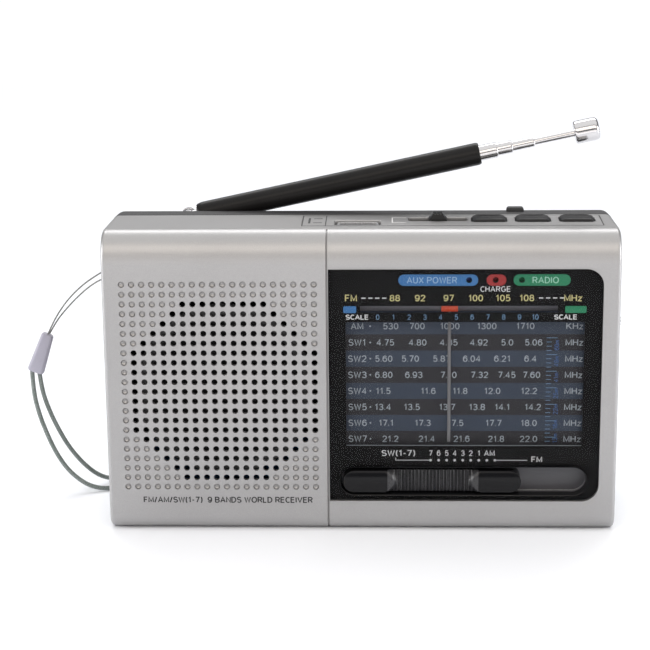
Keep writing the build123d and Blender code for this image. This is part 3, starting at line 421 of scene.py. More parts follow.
def rounded_box_points(x0, x1, z0, z1, radii, steps=8):
    """The outline of a box with its own radius at each corner, anticlockwise from low x, low z."""
    corners = [
        (x0, z0, radii[0], 180),
        (x1, z0, radii[1], 270),
        (x1, z1, radii[2], 0),
        (x0, z1, radii[3], 90),
    ]
    points = []
    for x, z, radius, start in corners:
        inward_x = radius if x == x0 else -radius
        inward_z = radius if z == z0 else -radius
        for step in range(steps + 1):
            angle = math.radians(start + 90.0 * step / steps)
            points.append(
                (x + inward_x + radius * math.cos(angle), z + inward_z + radius * math.sin(angle))
            )
    return points


def circle_points(x, z, radius, count=16):
    """Points round a circle."""
    turns = [2 * math.pi * i / count for i in range(count)]
    return [(x + radius * math.cos(turn), z + radius * math.sin(turn)) for turn in turns]


def outline_mesh(loops, y_front, y_back, edge=0.0, bm=None):
    """A plate facing the front, cut out by loops of (x, z), with its edges rounded."""
    data = bpy.data.curves.new("outline", "CURVE")
    data.dimensions = "2D"
    data.fill_mode = "BOTH"
    data.extrude = (y_back - y_front) / 2 - edge
    data.bevel_depth = edge
    data.bevel_resolution = 2
    data.offset = -edge
    for loop in loops:
        spline = data.splines.new("POLY")
        spline.points.add(len(loop) - 1)
        for point, (x, z) in zip(spline.points, loop):
            point.co = (x, z, 0.0, 1.0)
        spline.use_cyclic_u = True
    holder = bpy.data.objects.new("outline", data)
    collection.objects.link(holder)
    mesh = bpy.data.meshes.new_from_object(holder)
    middle = (y_front + y_back) / 2
    mesh.transform(Matrix.Translation((0, middle, 0)) @ Matrix.Rotation(math.pi / 2, 4, "X"))
    bm = bm or bmesh.new()
    bm.from_mesh(mesh)
    bpy.data.objects.remove(holder)
    bpy.data.meshes.remove(mesh)
    return bm


def lathe(bm, profile, origin, axis, count=48):
    """Revolves (radius, distance) points about an axis. The profile's ends are closed with discs."""
    axis = Vector(axis).normalized()
    side = axis.cross(Vector((0, 1, 0)) if abs(axis.y) < 0.9 else Vector((1, 0, 0))).normalized()
    other = axis.cross(side)
    rings = []
    for radius, distance in profile:
        centre = Vector(origin) + axis * distance
        ring = []
        for i in range(count):
            turn = 2 * math.pi * i / count
            ring.append(bm.verts.new(centre + radius * (math.cos(turn) * side + math.sin(turn) * other)))
        rings.append(ring)
    for one, two in zip(rings, rings[1:]):
        bridge(bm, one, two)
    bm.faces.new(rings[0])
    bm.faces.new(list(reversed(rings[-1])))
    return bm


def block(bm, x0, x1, y0, y1, z0, z1, material=0):
    """A plain box inside a larger mesh."""
    made = bmesh.ops.create_cube(bm, size=1.0)["verts"]
    bmesh.ops.scale(bm, vec=(x1 - x0, y1 - y0, z1 - z0), verts=made)
    bmesh.ops.translate(bm, vec=((x0 + x1) / 2, (y0 + y1) / 2, (z0 + z1) / 2), verts=made)
    for face in {face for vert in made for face in vert.link_faces}:
        face.material_index = material
    return bm


def carve(obj, cutter):
    """Cuts a millimetre mesh out of an object."""
    bmesh.ops.scale(cutter, vec=(MM, MM, MM), verts=cutter.verts)
    bmesh.ops.recalc_face_normals(cutter, faces=cutter.faces)
    mesh = bpy.data.meshes.new("cutter")
    cutter.to_mesh(mesh)
    cutter.free()
    tool = bpy.data.objects.new("cutter", mesh)
    collection.objects.link(tool)
    cut = obj.modifiers.new("cut", "BOOLEAN")
    cut.operation = "DIFFERENCE"
    cut.solver = "EXACT"
    cut.use_self = True
    cut.object = tool
    apply_modifiers(obj)
    bpy.data.objects.remove(tool)


def shade(obj, angle=32.0):
    """Smooth shading that keeps edges sharper than an angle."""
    mesh = obj.data
    mesh.polygons.foreach_set("use_smooth", [True] * len(mesh.polygons))
    mesh.set_sharp_from_angle(angle=math.radians(angle))


# ---------------------------------------------------------------- sizes, in millimetres
FRONT_Y = -22.0
COVER_Y = -14.0
MIDDLE_Y = 7.6
RIDGE_Y = 14.2
BACK_Y = 22.0
HALF_WIDTH = 80.5
HEIGHT = 97.0
WALL = 2.0
LEDGE_Z = 90.4
SIDE_R = 1.4  # rounding of the cover's side edges
ROLL_Z = 9.6  # height of the big roll along the top
ROLL_Y = 7.6  # its depth
LOW_ROLL = 5.5
SEAM_X = -10.4
WINDOW = (-10.0, 75.2, 10.1, 85.9)
WINDOW_R = 5.5
GRILLE_X = -42.7
GRILLE_Z = 46.4
PITCH = 3.15
BUTTONS_X = (40.6, 54.4, 68.3)
LAMPS_X = (33.7, 41.9, 50.0)
LAMP_Z = 81.9
LAMP_HOLE_R = 0.92
WHEEL_Y = (-8.5, -3.5)
TUNING_WHEEL = (70.8, 65.6, 11.5)  # x, z and radius
VOLUME_WHEEL = (70.9, 30.0, 10.3)
SCREWS = ((-75.2, 6.0), (75.2, 6.0), (-75.2, 82.0), (75.2, 84.5))


# ---------------------------------------------------------------- front cover
def cover_profile():
    """The cover's side view from the back of its base round to its top, as (y, z, normal y, normal z)."""
    steps = 14
    points = [(COVER_Y, 0.0, 0.0, -1.0)]
    for step in range(steps + 1):
        turn = math.pi / 2 * step / steps
        y = FRONT_Y + LOW_ROLL - LOW_ROLL * math.sin(turn)
        z = LOW_ROLL - LOW_ROLL * math.cos(turn)
        points.append((y, z, -math.sin(turn), -math.cos(turn)))
    for step in range(steps + 1):
        turn = math.pi / 2 * step / steps
        y = FRONT_Y + ROLL_Y - ROLL_Y * math.cos(turn)
        z = HEIGHT - ROLL_Z + ROLL_Z * math.sin(turn)
        normal = Vector((-math.cos(turn) / ROLL_Y, math.sin(turn) / ROLL_Z)).normalized()
        points.append((y, z, normal.x, normal.y))
    points.append((COVER_Y, HEIGHT, 0.0, 1.0))
    return points


def grille_holes():
    """The lattice of openings: through holes within a clipped square, blind dimples round it."""
    through, blind = [], []
    for column in range(-10, 10):
        for row in range(-11, 11):
            place = (GRILLE_X + PITCH * column, GRILLE_Z - PITCH * row)
            inside = max(abs(column), abs(row)) <= 9 and abs(column) + abs(row) <= 13
            (through if inside else blind).append(place)
    return through, blind


def add_front_cover():
    """The silver front: rolled shell, drilled and dimpled left panel and a frame round the window."""
    bm = bmesh.new()
    profile = cover_profile()
    stations = []
    for step in range(7):
        turn = math.pi / 2 * step / 6
        stations.append((HALF_WIDTH - SIDE_R + SIDE_R * math.cos(turn), SIDE_R * (1 - math.sin(turn))))
    xs = [(-x, inset) for x, inset in stations]
    for x, inset in ((-0.3, 0.0), (-0.18, 0.3), (0.0, 0.42), (0.18, 0.3), (0.3, 0.0)):
        xs.append((SEAM_X + x, inset))
    xs += list(reversed(stations))
    rows = []
    for x, inset in xs:
        ring = []
        for y, z, normal_y, normal_z in profile:
            ring.append(bm.verts.new((x, y - inset * normal_y, z - inset * normal_z)))
        rows.append(ring)
    flat = len(profile) // 2 - 1
    for index, (one, two) in enumerate(zip(rows, rows[1:])):
        seam = xs[index][0] >= SEAM_X - 0.31 and xs[index + 1][0] <= SEAM_X + 0.31
        edge = xs[index][1] > 0 or xs[index + 1][1] > 0
        for i in range(len(profile) - 1):
            if i == flat and not (seam or edge):
                continue
            bm.faces.new((one[i], one[i + 1], two[i + 1], two[i]))
    bm.faces.new(rows[0])
    bm.faces.new(rows[-1])
    lining = []
    for x in (1.4 - HALF_WIDTH, HALF_WIDTH - 1.4):
        spots = [(x, y - 1.4 * across, z - 1.4 * up) for y, z, across, up in profile]
        lining.append([bm.verts.new(spot) for spot in spots])
    for i in range(len(profile) - 1):
        if i != flat:
            bm.faces.new((lining[0][i], lining[1][i], lining[1][i + 1], lining[0][i + 1]))
    shell = make_object("front_shell", bm, *SILVER_CASE, smooth=0)
    shade(shell, 40.0)

    through, blind = grille_holes()
    x0, x1 = -HALF_WIDTH + SIDE_R, SEAM_X - 0.3
    z0, z1 = LOW_ROLL, HEIGHT - ROLL_Z
    loops = [[(x0, z0), (x1, z0), (x1, z1), (x0, z1)]]
    loops += [circle_points(x, z, 0.97, 18) for x, z in through]
    loops += [circle_points(x, z, 1.0, 18) for x, z in blind]
    bm = outline_mesh(loops, FRONT_Y, FRONT_Y + 1.5, 0.0)
    dimple = [(1.06, 1.2), (1.0, 0.18), (0.82, 0.7), (0.45, 0.98), (0.02, 1.05)]
    for x, z in blind:
        lathe(bm, dimple, (x, FRONT_Y, z), (0, 1, 0), 18)
    make_object("grille_panel", bm, *SILVER_CASE, replaces=["front_cover"], smooth=30.0)

    outline = [(SEAM_X + 0.3, z0), (HALF_WIDTH - SIDE_R, z0), (HALF_WIDTH - SIDE_R, z1), (SEAM_X + 0.3, z1)]
    opening = rounded_box_points(*WINDOW, (0.1, WINDOW_R, WINDOW_R, 0.1), 12)
    bm = outline_mesh([outline, opening], FRONT_Y, FRONT_Y + 1.9, 0.0)
    make_object("window_frame", bm, *SILVER_CASE, smooth=30.0)


add_front_cover()


def add_window_lip():
    """The thin raised lip along the window's right and lower edges."""
    x0, x1, z0, z1 = WINDOW
    outer = rounded_box_points(x0, x1 + 0.45, z0 - 0.45, z1 + 0.2, (0.1, 5.9, 5.7, 0.1), 12)
    inner = rounded_box_points(*WINDOW, (0.1, WINDOW_R, WINDOW_R, 0.1), 12)
    bm = outline_mesh([outer, inner], FRONT_Y - 0.12, FRONT_Y + 0.4, 0.08)
    make_object("window_lip", bm, *SILVER_CASE, smooth=50.0)


add_window_lip()


# ---------------------------------------------------------------- cases
def case_ring(y, inset, radius):
    """The case's rounded outline at y, drawn in by an inset."""
    half = HALF_WIDTH - inset
    low = min(radius, 3.0)
    points = rounded_box_points(-half, half, inset, HEIGHT - inset, (low, low, radius, radius), 8)
    return [(x, y, z) for x, z in points]


def add_middle_case():
    """The silver ring between the covers, with openings for the panel, wheels and jack."""
    bm = bmesh.new()
    gap = 0.35  # a fine groove at each joint
    layers = [
        (COVER_Y, 0.25, 1.0),
        (COVER_Y + gap, 0.0, 1.0),
        (0.0, 0.0, 2.0),
        (MIDDLE_Y - gap, 0.0, 2.5),
        (MIDDLE_Y, 0.25, 2.5),
        (MIDDLE_Y, WALL, 1.5),
        (COVER_Y, WALL, 1.0),
    ]
    rings = [add_loop(bm, case_ring(y, inset, radius)) for y, inset, radius in layers]
    for one, two in zip(rings, rings[1:] + rings[:1]):
        bridge(bm, one, two)
    case = make_object("middle_shell", bm, *SILVER_CASE, replaces=["middle_case"], smooth=0)
    carve(case, block(bmesh.new(), -18.6, 76.1, -10.1, 6.1, 90.0, 99.0))
    for wheel_z, half in ((TUNING_WHEEL[1], 10.2), (VOLUME_WHEEL[1], 9.2)):
        carve(case, block(bmesh.new(), 74.0, 84.0, -9.0, -3.0, wheel_z - half, wheel_z + half))
    carve(case, lathe(bmesh.new(), [(3.1, 0.0), (3.1, 5.0)], (-81.0, 0.0, 62.0), (1, 0, 0), 32))
    shade(case)


def add_back_case():
    """The dark back: ridge, antenna channel, speaker-side vents and door opening."""
    bm = bmesh.new()
    layers = [
        (MIDDLE_Y, 0.25, 2.5),
        (MIDDLE_Y + 0.35, 0.0, 2.5),
        (14.0, 0.0, 3.4),
        (18.5, 0.0, 4.2),
        (20.4, 0.35, 4.5),
        (21.5, 1.1, 4.8),
        (BACK_Y, 2.3, 4.8),
    ]
    rings = [add_loop(bm, case_ring(y, inset, radius)) for y, inset, radius in layers]
    for one, two in zip(rings, rings[1:]):
        bridge(bm, one, two)
    bm.faces.new(rings[-1])
    inner = [add_loop(bm, case_ring(y, WALL, 2.5)) for y in (MIDDLE_Y, BACK_Y - WALL)]
    bridge(bm, rings[0], inner[0])
    bridge(bm, inner[0], inner[1])
    bm.faces.new(inner[1])
    case = make_object("back_shell", bm, *DARK_CASE, replaces=["back_case"], smooth=0)
    carve(case, block(bmesh.new(), -90.0, 90.0, RIDGE_Y, 30.0, LEDGE_Z, 110.0))
    carve(case, block(bmesh.new(), -69.0, -5.0, 19.0, 24.0, 4.5, 21.5))
    cutter = bmesh.new()
    for x, z in SCREWS:
        lathe(cutter, [(2.5, 0.0), (2.5, 5.0)], (x, 20.6, z), (0, 1, 0), 32)
    carve(case, cutter)
    cutter = bmesh.new()
    for row in range(7):
        for column in range(5):
            x = GRILLE_X - 20.0 + 10.0 * column
            z = 36.0 + 4.4 * row
            opening = rounded_box_points(x - 3.4, x + 3.4, z - 0.7, z + 0.7, (0.69,) * 4, 5)
            vent = outline_mesh([opening], 19.0, 23.0)
            mesh = bpy.data.meshes.new("vent")
            vent.to_mesh(mesh)
            vent.free()
            cutter.from_mesh(mesh)
            bpy.data.meshes.remove(mesh)
    carve(case, cutter)
    carve(case, lathe(bmesh.new(), [(1.95, 0.0), (1.95, 8.0)], (-57.0, 18.3, 86.0), (0, 0, 1), 32))
    shade(case)
    bm = bmesh.new()
    block(bm, -78.6, 78.6, RIDGE_Y - 1.8, RIDGE_Y, LEDGE_Z - 1.9, 95.3)
    block(bm, -78.6, 78.6, RIDGE_Y - 1.8, BACK_Y - 0.8, LEDGE_Z - 1.9, LEDGE_Z)
    make_object("channel_walls", bm, *DARK_CASE, bevel=0.2)
    bm = bmesh.new()
    block(bm, GRILLE_X - 26.0, GRILLE_X + 26.0, 18.7, 19.5, 33.0, 66.0)
    make_object("vent_cloth", bm, "case", "paper_cone", PAPER, bevel=0.1)


add_middle_case()
add_back_case()


def add_antenna_rest():
    """The small catch on the ridge that steadies the lowered antenna."""
    profile = [(46.6, 96.4), (52.6, 96.4), (52.3, 98.0), (51.8, 98.4), (47.4, 98.4), (46.9, 98.0)]
    bm = bmesh.new()
    front = add_loop(bm, [(x, 11.9, z) for x, z in profile])
    back = add_loop(bm, [(x, 14.1, z) for x, z in profile])
    bridge(bm, front, back)
    bm.faces.new(front)
    bm.faces.new(list(reversed(back)))
    make_object("antenna_rest", bm, *DARK_CASE, bevel=0.3)


def add_strap_lug():
    """Two ears and a bar on the left side that hold the strap."""
    bm = bmesh.new()
    for y in (9.1, 14.9):
        block(bm, -82.2, -77.4, y - 0.5, y + 0.5, 76.9, 79.5)
    lathe(bm, [(0.7, 0.0), (0.7, 5.8)], (-81.0, 9.1, 78.2), (0, 1, 0), 20)
    make_object("strap_lug", bm, *DARK_CASE, bevel=0.2)


add_antenna_rest()
add_strap_lug()


# ---------------------------------------------------------------- top controls
def add_top_panel():
    """The inset control panel with its openings, their edges rounded."""
    data = [rounded_box_points(-18.5, 76.0, -10.0, 6.0, (0.8,) * 4)]
    data.append(rounded_box_points(-8.2, 6.4, -8.55, -1.45, (0.8,) * 4))
    data.append(rounded_box_points(15.05, 33.75, -2.8, 2.8, (1.2,) * 4))
    for x in BUTTONS_X:
        data.append(rounded_box_points(x - 5.65, x + 5.65, -4.5, 3.7, (1.4,) * 4))
    bm = outline_mesh(data, -97.0, -95.2, 0.15)
    bmesh.ops.transform(bm, matrix=Matrix.Rotation(-math.pi / 2, 4, "X"), verts=bm.verts)
    make_object("control_panel", bm, *SILVER_CASE, replaces=["top_panel"], smooth=50.0)
    bm = bmesh.new()
    # The dark lines along the panel's rim are painted shade of the gap round the inset panel. Another dark
    # line runs across the panel at x -11, and the small dark and white marks further in are print.
    for x in (-18.35, -11.0, 75.85):
        block(bm, x - 0.15, x + 0.15, -9.8, 5.8, 96.9, 97.04)
    for y in (-9.85, 5.85):
        block(bm, -18.4, 75.9, y - 0.1, y + 0.1, 96.9, 97.04)
    for x0, x1, y0, y1 in ((-16.6, -15.9, -6.0, 2.0), (-15.0, -12.2, -5.4, -4.8), (-15.0, -12.2, 0.8, 1.4)):
        block(bm, x0, x1, y0, y1, 96.9, 97.04)
    block(bm, 9.8, 10.1, -5.4, 2.6, 96.9, 97.04, 1)
    block(bm, 10.1, 14.4, -5.4, -5.1, 96.9, 97.04, 1)
    block(bm, 10.1, 14.4, 2.3, 2.6, 96.9, 97.04, 1)
    make_object("panel_print_and_gap_shade", bm, "case", "silver_plastic", DARK, INK_WHITE, smooth=0)


def add_buttons():
    """Three buttons with arched caps."""
    names = ("button_left", "button_middle", "button_right")
    for x, name in zip(BUTTONS_X, names):
        bm = bmesh.new()
        rings = []
        outline = rounded_box_points(-5.35, 5.35, -3.8, 3.8, (1.1,) * 4, 6)
        rings.append(add_loop(bm, [(x + across, -0.4 + deep, HEIGHT - 2.1) for across, deep in outline]))
        for shrink, lift in ((0.0, -0.6), (0.05, -0.3), (0.2, -0.12), (0.5, 0.0), (1.0, 0.06)):
            factor_x = 1 - shrink / 5.35
            factor_y = 1 - shrink / 3.8
            ring = []
            for across, deep in outline:
                arch = HEIGHT + 0.5 + 1.0 * (1 - (across / 5.35) ** 2)
                ring.append((x + across * factor_x, -0.4 + deep * factor_y, arch + lift))
            rings.append(add_loop(bm, ring))
        for one, two in zip(rings, rings[1:]):
            bridge(bm, one, two)
        bm.faces.new(rings[0])
        bm.faces.new(rings[-1])
        block(bm, x - 1.5, x + 1.5, -1.9, 1.1, HEIGHT - 3.8, HEIGHT - 2.0)
        make_object(name + "_cap", bm, name, "button_plastic", BUTTON, replaces=[name], smooth=40.0)


def add_function_knob():
    """The ridged slide knob, a low pyramid of steps."""
    bm = bmesh.new()
    block(bm, 17.4, 29.6, -2.6, 2.6, 94.2, 94.9)
    block(bm, 21.4, 27.4, -2.5, 2.5, 94.9, 97.0)
    profile = [(-3.0, 97.0), (-2.2, 98.0), (-1.5, 99.0), (1.5, 99.0), (2.2, 98.0), (3.0, 97.0)]
    front = add_loop(bm, [(24.4 + x, -2.5, z) for x, z in profile])
    back = add_loop(bm, [(24.4 + x, 2.5, z) for x, z in profile])
    bridge(bm, front, back)
    bm.faces.new(front)
    bm.faces.new(list(reversed(back)))
    for step in range(4):
        x = 24.4 - 1.35 + 0.9 * step
        block(bm, x - 0.2, x + 0.2, -2.5, 2.5, 98.8, 99.35)
    block(bm, 23.2, 25.6, -1.1, 1.1, 90.2, 94.4)
    make_object(
        "function_slider", bm, "function", "button_plastic", BUTTON, replaces=["function_knob"], bevel=0.12
    )


add_top_panel()
add_buttons()
add_function_knob()


# ---------------------------------------------------------------- dial window
LENS_BACK = -20.15
PRINT_Y = -20.04  # the printing on the back of the window
MASK_Y = -20.0
PLATE_Y = -17.0
DIAL = (-4.6, 69.7, 27.5, 68.5)
POINTER_Z = 72.5
BAND_SLOT = (-6.8, 71.6, 12.0, 21.6)
BAND_SLOT_R = 4.7
TRAY_Y = -15.8


def slot_outline(inset=0.0):
    """The outline of the band slot, drawn in by an inset."""
    x0, x1, z0, z1 = BAND_SLOT
    box = (x0 + inset, x1 - inset, z0 + inset, z1 - inset)
    return rounded_box_points(*box, (BAND_SLOT_R - inset,) * 4, 14)


def add_lens():
    """The window: one clear plate with rounded right corners and the band slot."""
    outline = rounded_box_points(-9.9, 75.1, 10.2, 85.8, (0.2, 5.4, 5.4, 0.2), 12)
    slot = slot_outline()
    bm = outline_mesh([outline, slot], FRONT_Y + 0.1, LENS_BACK, 0.15)
    make_object("window", bm, "case", "lens", LENS, replaces=["dial_lens"], smooth=50.0)


def add_mask():
    """The black surround behind the window, open over the dial, pointer slot, lamps and band slot."""
    loops = [[(-11.5, 8.6), (76.7, 8.6), (76.7, 87.4), (-11.5, 87.4)]]
    loops.append(rounded_box_points(*DIAL, (0.6,) * 4))
    loops.append(slot_outline())
    loops.append(rounded_box_points(-0.1, 61.3, POINTER_Z - 1.15, POINTER_Z + 1.15, (0.3,) * 4))
    loops += [circle_points(x, LAMP_Z, LAMP_HOLE_R, 20) for x in LAMPS_X]
    bm = outline_mesh(loops, MASK_Y, MASK_Y + 0.8, 0.0)
    make_object("dial_surround", bm, "case", "mask", MASK_BLACK, replaces=["dial_mask"], smooth=30.0)


ROWS_TOP = 66.4
ROW_STEP = 5.29
BAND_BLUE = printed("band_blue", (0.034, 0.05, 0.085))
BAND_DARK = printed("band_dark", (0.017, 0.017, 0.022))
INK_COLORS = {
    "white": (0.78, 0.8, 0.82),
    "grey": (0.4, 0.45, 0.5),
    "yellow": (0.72, 0.66, 0.3),
    "blue": (0.045, 0.2, 0.5),
    "pale_blue": (0.16, 0.3, 0.5),
    "deep_blue": (0.05, 0.12, 0.33),
    "red": (0.42, 0.03, 0.03),
    "green": (0.015, 0.26, 0.12),
    "pale_green": (0.4, 0.75, 0.6),
    "sky": (0.35, 0.55, 0.8),
    "dark": (0.02, 0.02, 0.022),
}
INK = {name: printed("ink_" + name, color) for name, color in INK_COLORS.items()}


def add_dial_plate():
    """The scale plate: eight bands, alternately blue and dark, and the strip behind the pointer."""
    bm = bmesh.new()
    for row in range(8):
        z = ROWS_TOP - ROW_STEP * row
        index = row % 2
        low = z - ROW_STEP / 2 if row < 7 else 25.0
        high = z + ROW_STEP / 2 if row else 71.2
        block(bm, -8.0, 74.0, PLATE_Y, PLATE_Y + 0.8, low, high, index)
    make_object("scale_plate", bm, "case", "scale", BAND_BLUE, BAND_DARK, replaces=["dial_plate"], smooth=0)
    bm = bmesh.new()
    block(bm, -8.0, 74.0, PLATE_Y + 0.5, PLATE_Y + 1.3, 71.3, 77.0)
    make_object("slot_back", bm, "case", "tray_grey", SLOT_GREY, bevel=0.1)


# Each band: its name and its marks as (text, x). The first is marked in KHz and the rest in MHz.
BANDS = [
    ("AM", [("530", 9.5), ("700", 17.8), ("1000", 28.1), ("1300", 39.7), ("1710", 51.8)]),
    ("SW1", [("4.75", 7.8), ("4.80", 18.0), ("4.85", 27.8), ("4.92", 37.3), ("5.0", 46.2), ("5.06", 54.5)]),
    ("SW2", [("5.60", 7.3), ("5.70", 15.7), ("5.87", 25.6), ("6.04", 35.1), ("6.21", 44.7), ("6.4", 53.6)]),
    ("SW3", [("6.80", 7.3), ("6.93", 16.8), ("7.10", 27.8), ("7.32", 37.6), ("7.45", 46.2), ("7.60", 54.0)]),
    ("SW4", [("11.5", 7.1), ("11.6", 21.4), ("11.8", 31.5), ("12.0", 41.7), ("12.2", 53.3)]),
    ("SW5", [("13.4", 7.0), ("13.5", 16.2), ("13.7", 27.4), ("13.8", 36.9), ("14.1", 44.9), ("14.2", 54.6)]),
    ("SW6", [("17.1", 8.0), ("17.3", 19.7), ("17.5", 30.1), ("17.7", 42.2), ("18.0", 53.4)]),
    ("SW7", [("21.2", 9.4), ("21.4", 21.0), ("21.6", 32.1), ("21.8", 43.1), ("22.0", 53.4)]),
]
LABEL_X = -1.1
DOT_X = 3.0
UNIT_X = 66.9


# Letterforms as strokes in a box one unit high. A stroke holds points and arcs, and an arc is
# (centre x, centre y, radius x, radius y, start degrees, end degrees).
GLYPHS = {
    " ": [],
    "A": [[(0, 0), (0.36, 1), (0.72, 0)], [(0.12, 0.33), (0.6, 0.33)]],
    "B": [
        [(0, 0), (0, 1), (0.34, 0.76, 0.24, 0.24, 90, -90), (0, 0.52)],
        [(0.3, 0.52), (0.34, 0.26, 0.27, 0.26, 90, -90), (0, 0)],
    ],
    "C": [[(0.35, 0.5, 0.35, 0.5, 48, 312)]],
    "D": [[(0, 0), (0, 1), (0.24, 0.5, 0.4, 0.5, 90, -90), (0, 0)]],
    "E": [[(0.54, 1), (0, 1), (0, 0), (0.55, 0)], [(0, 0.52), (0.5, 0.52)]],
    "F": [[(0.52, 1), (0, 1), (0, 0)], [(0, 0.52), (0.45, 0.52)]],
    "G": [[(0.36, 0.5, 0.36, 0.5, 48, 345), (0.71, 0.46), (0.42, 0.46)]],
    "H": [[(0, 0), (0, 1)], [(0.6, 0), (0.6, 1)], [(0, 0.52), (0.6, 0.52)]],
    "I": [[(0.02, 0), (0.02, 1)]],
    "K": [[(0, 0), (0, 1)], [(0.58, 1), (0, 0.4)], [(0.2, 0.6), (0.62, 0)]],
    "L": [[(0, 1), (0, 0), (0.5, 0)]],
    "M": [[(0, 0), (0, 1), (0.36, 0.12), (0.72, 1), (0.72, 0)]],
    "N": [[(0, 0), (0, 1), (0.6, 0), (0.6, 1)]],
    "O": [[(0.38, 0.5, 0.38, 0.5, 0, 360)]],
    "P": [[(0, 0), (0, 1), (0.32, 0.74, 0.27, 0.26, 90, -90), (0, 0.48)]],
    "R": [[(0, 0), (0, 1), (0.32, 0.74, 0.27, 0.26, 90, -90), (0, 0.48)], [(0.34, 0.48), (0.6, 0)]],
    "S": [[(0.3, 0.75, 0.27, 0.25, 25, 262), (0.31, 0.26, 0.29, 0.26, 82, -155)]],
    "U": [[(0, 1), (0.3, 0.32, 0.3, 0.32, 180, 360), (0.6, 1)]],
    "V": [[(0, 1), (0.34, 0), (0.68, 1)]],
    "W": [[(0, 1), (0.23, 0), (0.46, 0.95), (0.69, 0), (0.92, 1)]],
    "X": [[(0, 0), (0.62, 1)], [(0, 1), (0.62, 0)]],
    "m": [
        [(0, 0), (0, 0.6)],
        [(0.18, 0.42, 0.18, 0.2, 180, 0), (0.36, 0)],
        [(0.54, 0.42, 0.18, 0.2, 180, 0), (0.72, 0)],
    ],
    "z": [[(0, 0.66), (0.44, 0.66), (0, 0), (0.46, 0)]],
    "0": [[(0.28, 0.5, 0.28, 0.5, 0, 360)]],
    "1": [[(0.04, 0.76), (0.26, 1), (0.26, 0)]],
    "2": [[(0.28, 0.72, 0.27, 0.28, 168, -30), (0, 0), (0.57, 0)]],
    "3": [[(0.27, 0.76, 0.25, 0.24, 160, -90), (0.28, 0.26, 0.28, 0.26, 90, -160)]],
    "4": [[(0.43, 0), (0.43, 1), (0, 0.29), (0.6, 0.29)]],
    "5": [[(0.51, 1), (0.1, 1), (0.04, 0.5), (0.27, 0.32, 0.28, 0.32, 128, -150)]],
    "6": [[(0.28, 0.33, 0.28, 0.33, 0, 360)], [(0.3, 0.5, 0.3, 0.5, 38, 190)]],
    "7": [[(0, 1), (0.55, 1), (0.2, 0)]],
    "8": [[(0.28, 0.76, 0.24, 0.24, 0, 360)], [(0.28, 0.27, 0.28, 0.27, 0, 360)]],
    "9": [[(0.28, 0.67, 0.28, 0.33, 0, 360)], [(0.26, 0.5, 0.3, 0.5, 10, -142)]],
    ".": [[(0.03, 0.0), (0.03, 0.1)]],
    "-": [[(0, 0.42), (0.3, 0.42)]],
    "/": [[(0, -0.04), (0.32, 1.04)]],
    "(": [[(0.27, 0.46, 0.25, 0.62, 112, 248)]],
    ")": [[(-0.04, 0.46, 0.25, 0.62, -68, 68)]],
}
LETTER_GAP = 0.27
NARROW = {" ": 0.12, "1": 0.36, "I": 0.04, ".": 0.06, "(": 0.16, ")": 0.2}


def glyph_width(letter):
    """The width of a letterform."""
    if letter in NARROW:
        return NARROW[letter]
    reach = [point[0] for stroke in GLYPHS[letter] for point in stroke_points(stroke)]
    return max(reach)


def stroke_points(stroke):
    """The points of one stroke, with its arcs drawn out."""
    points = []
    for item in stroke:
        if len(item) == 2:
            points.append(item)
            continue
        x, y, radius_x, radius_y, start, end = item
        count = max(4, round(abs(end - start) / 18))
        for step in range(count + 1):
            turn = math.radians(start + (end - start) * step / count)
            place = (x + radius_x * math.cos(turn), y + radius_y * math.sin(turn))
            if not points or math.dist(points[-1], place) > 0.01:
                points.append(place)
    return points


def ribbon(path, half, closed):
    """The two edges of a stroke, mitred at its corners."""
    count = len(path) - 1 if closed else len(path)
    left, right = [], []
    for i in range(count):
        here = Vector(path[i])
        before = Vector(path[i - 1]) if i or closed else here
        if closed and i == 0:
            before = Vector(path[-2])
        after = Vector(path[i + 1]) if i + 1 < len(path) else here
        one = (here - before).normalized() if (here - before).length else (after - here).normalized()
        two = (after - here).normalized() if (after - here).length else one
        normal = Vector((-(one + two).y, (one + two).x))
        normal = normal.normalized() if normal.length > 1e-6 else Vector((-one.y, one.x))
        lean = max(0.55, normal.dot(Vector((-one.y, one.x))))
        left.append(here + normal * half / lean)
        right.append(here - normal * half / lean)
    return left, right


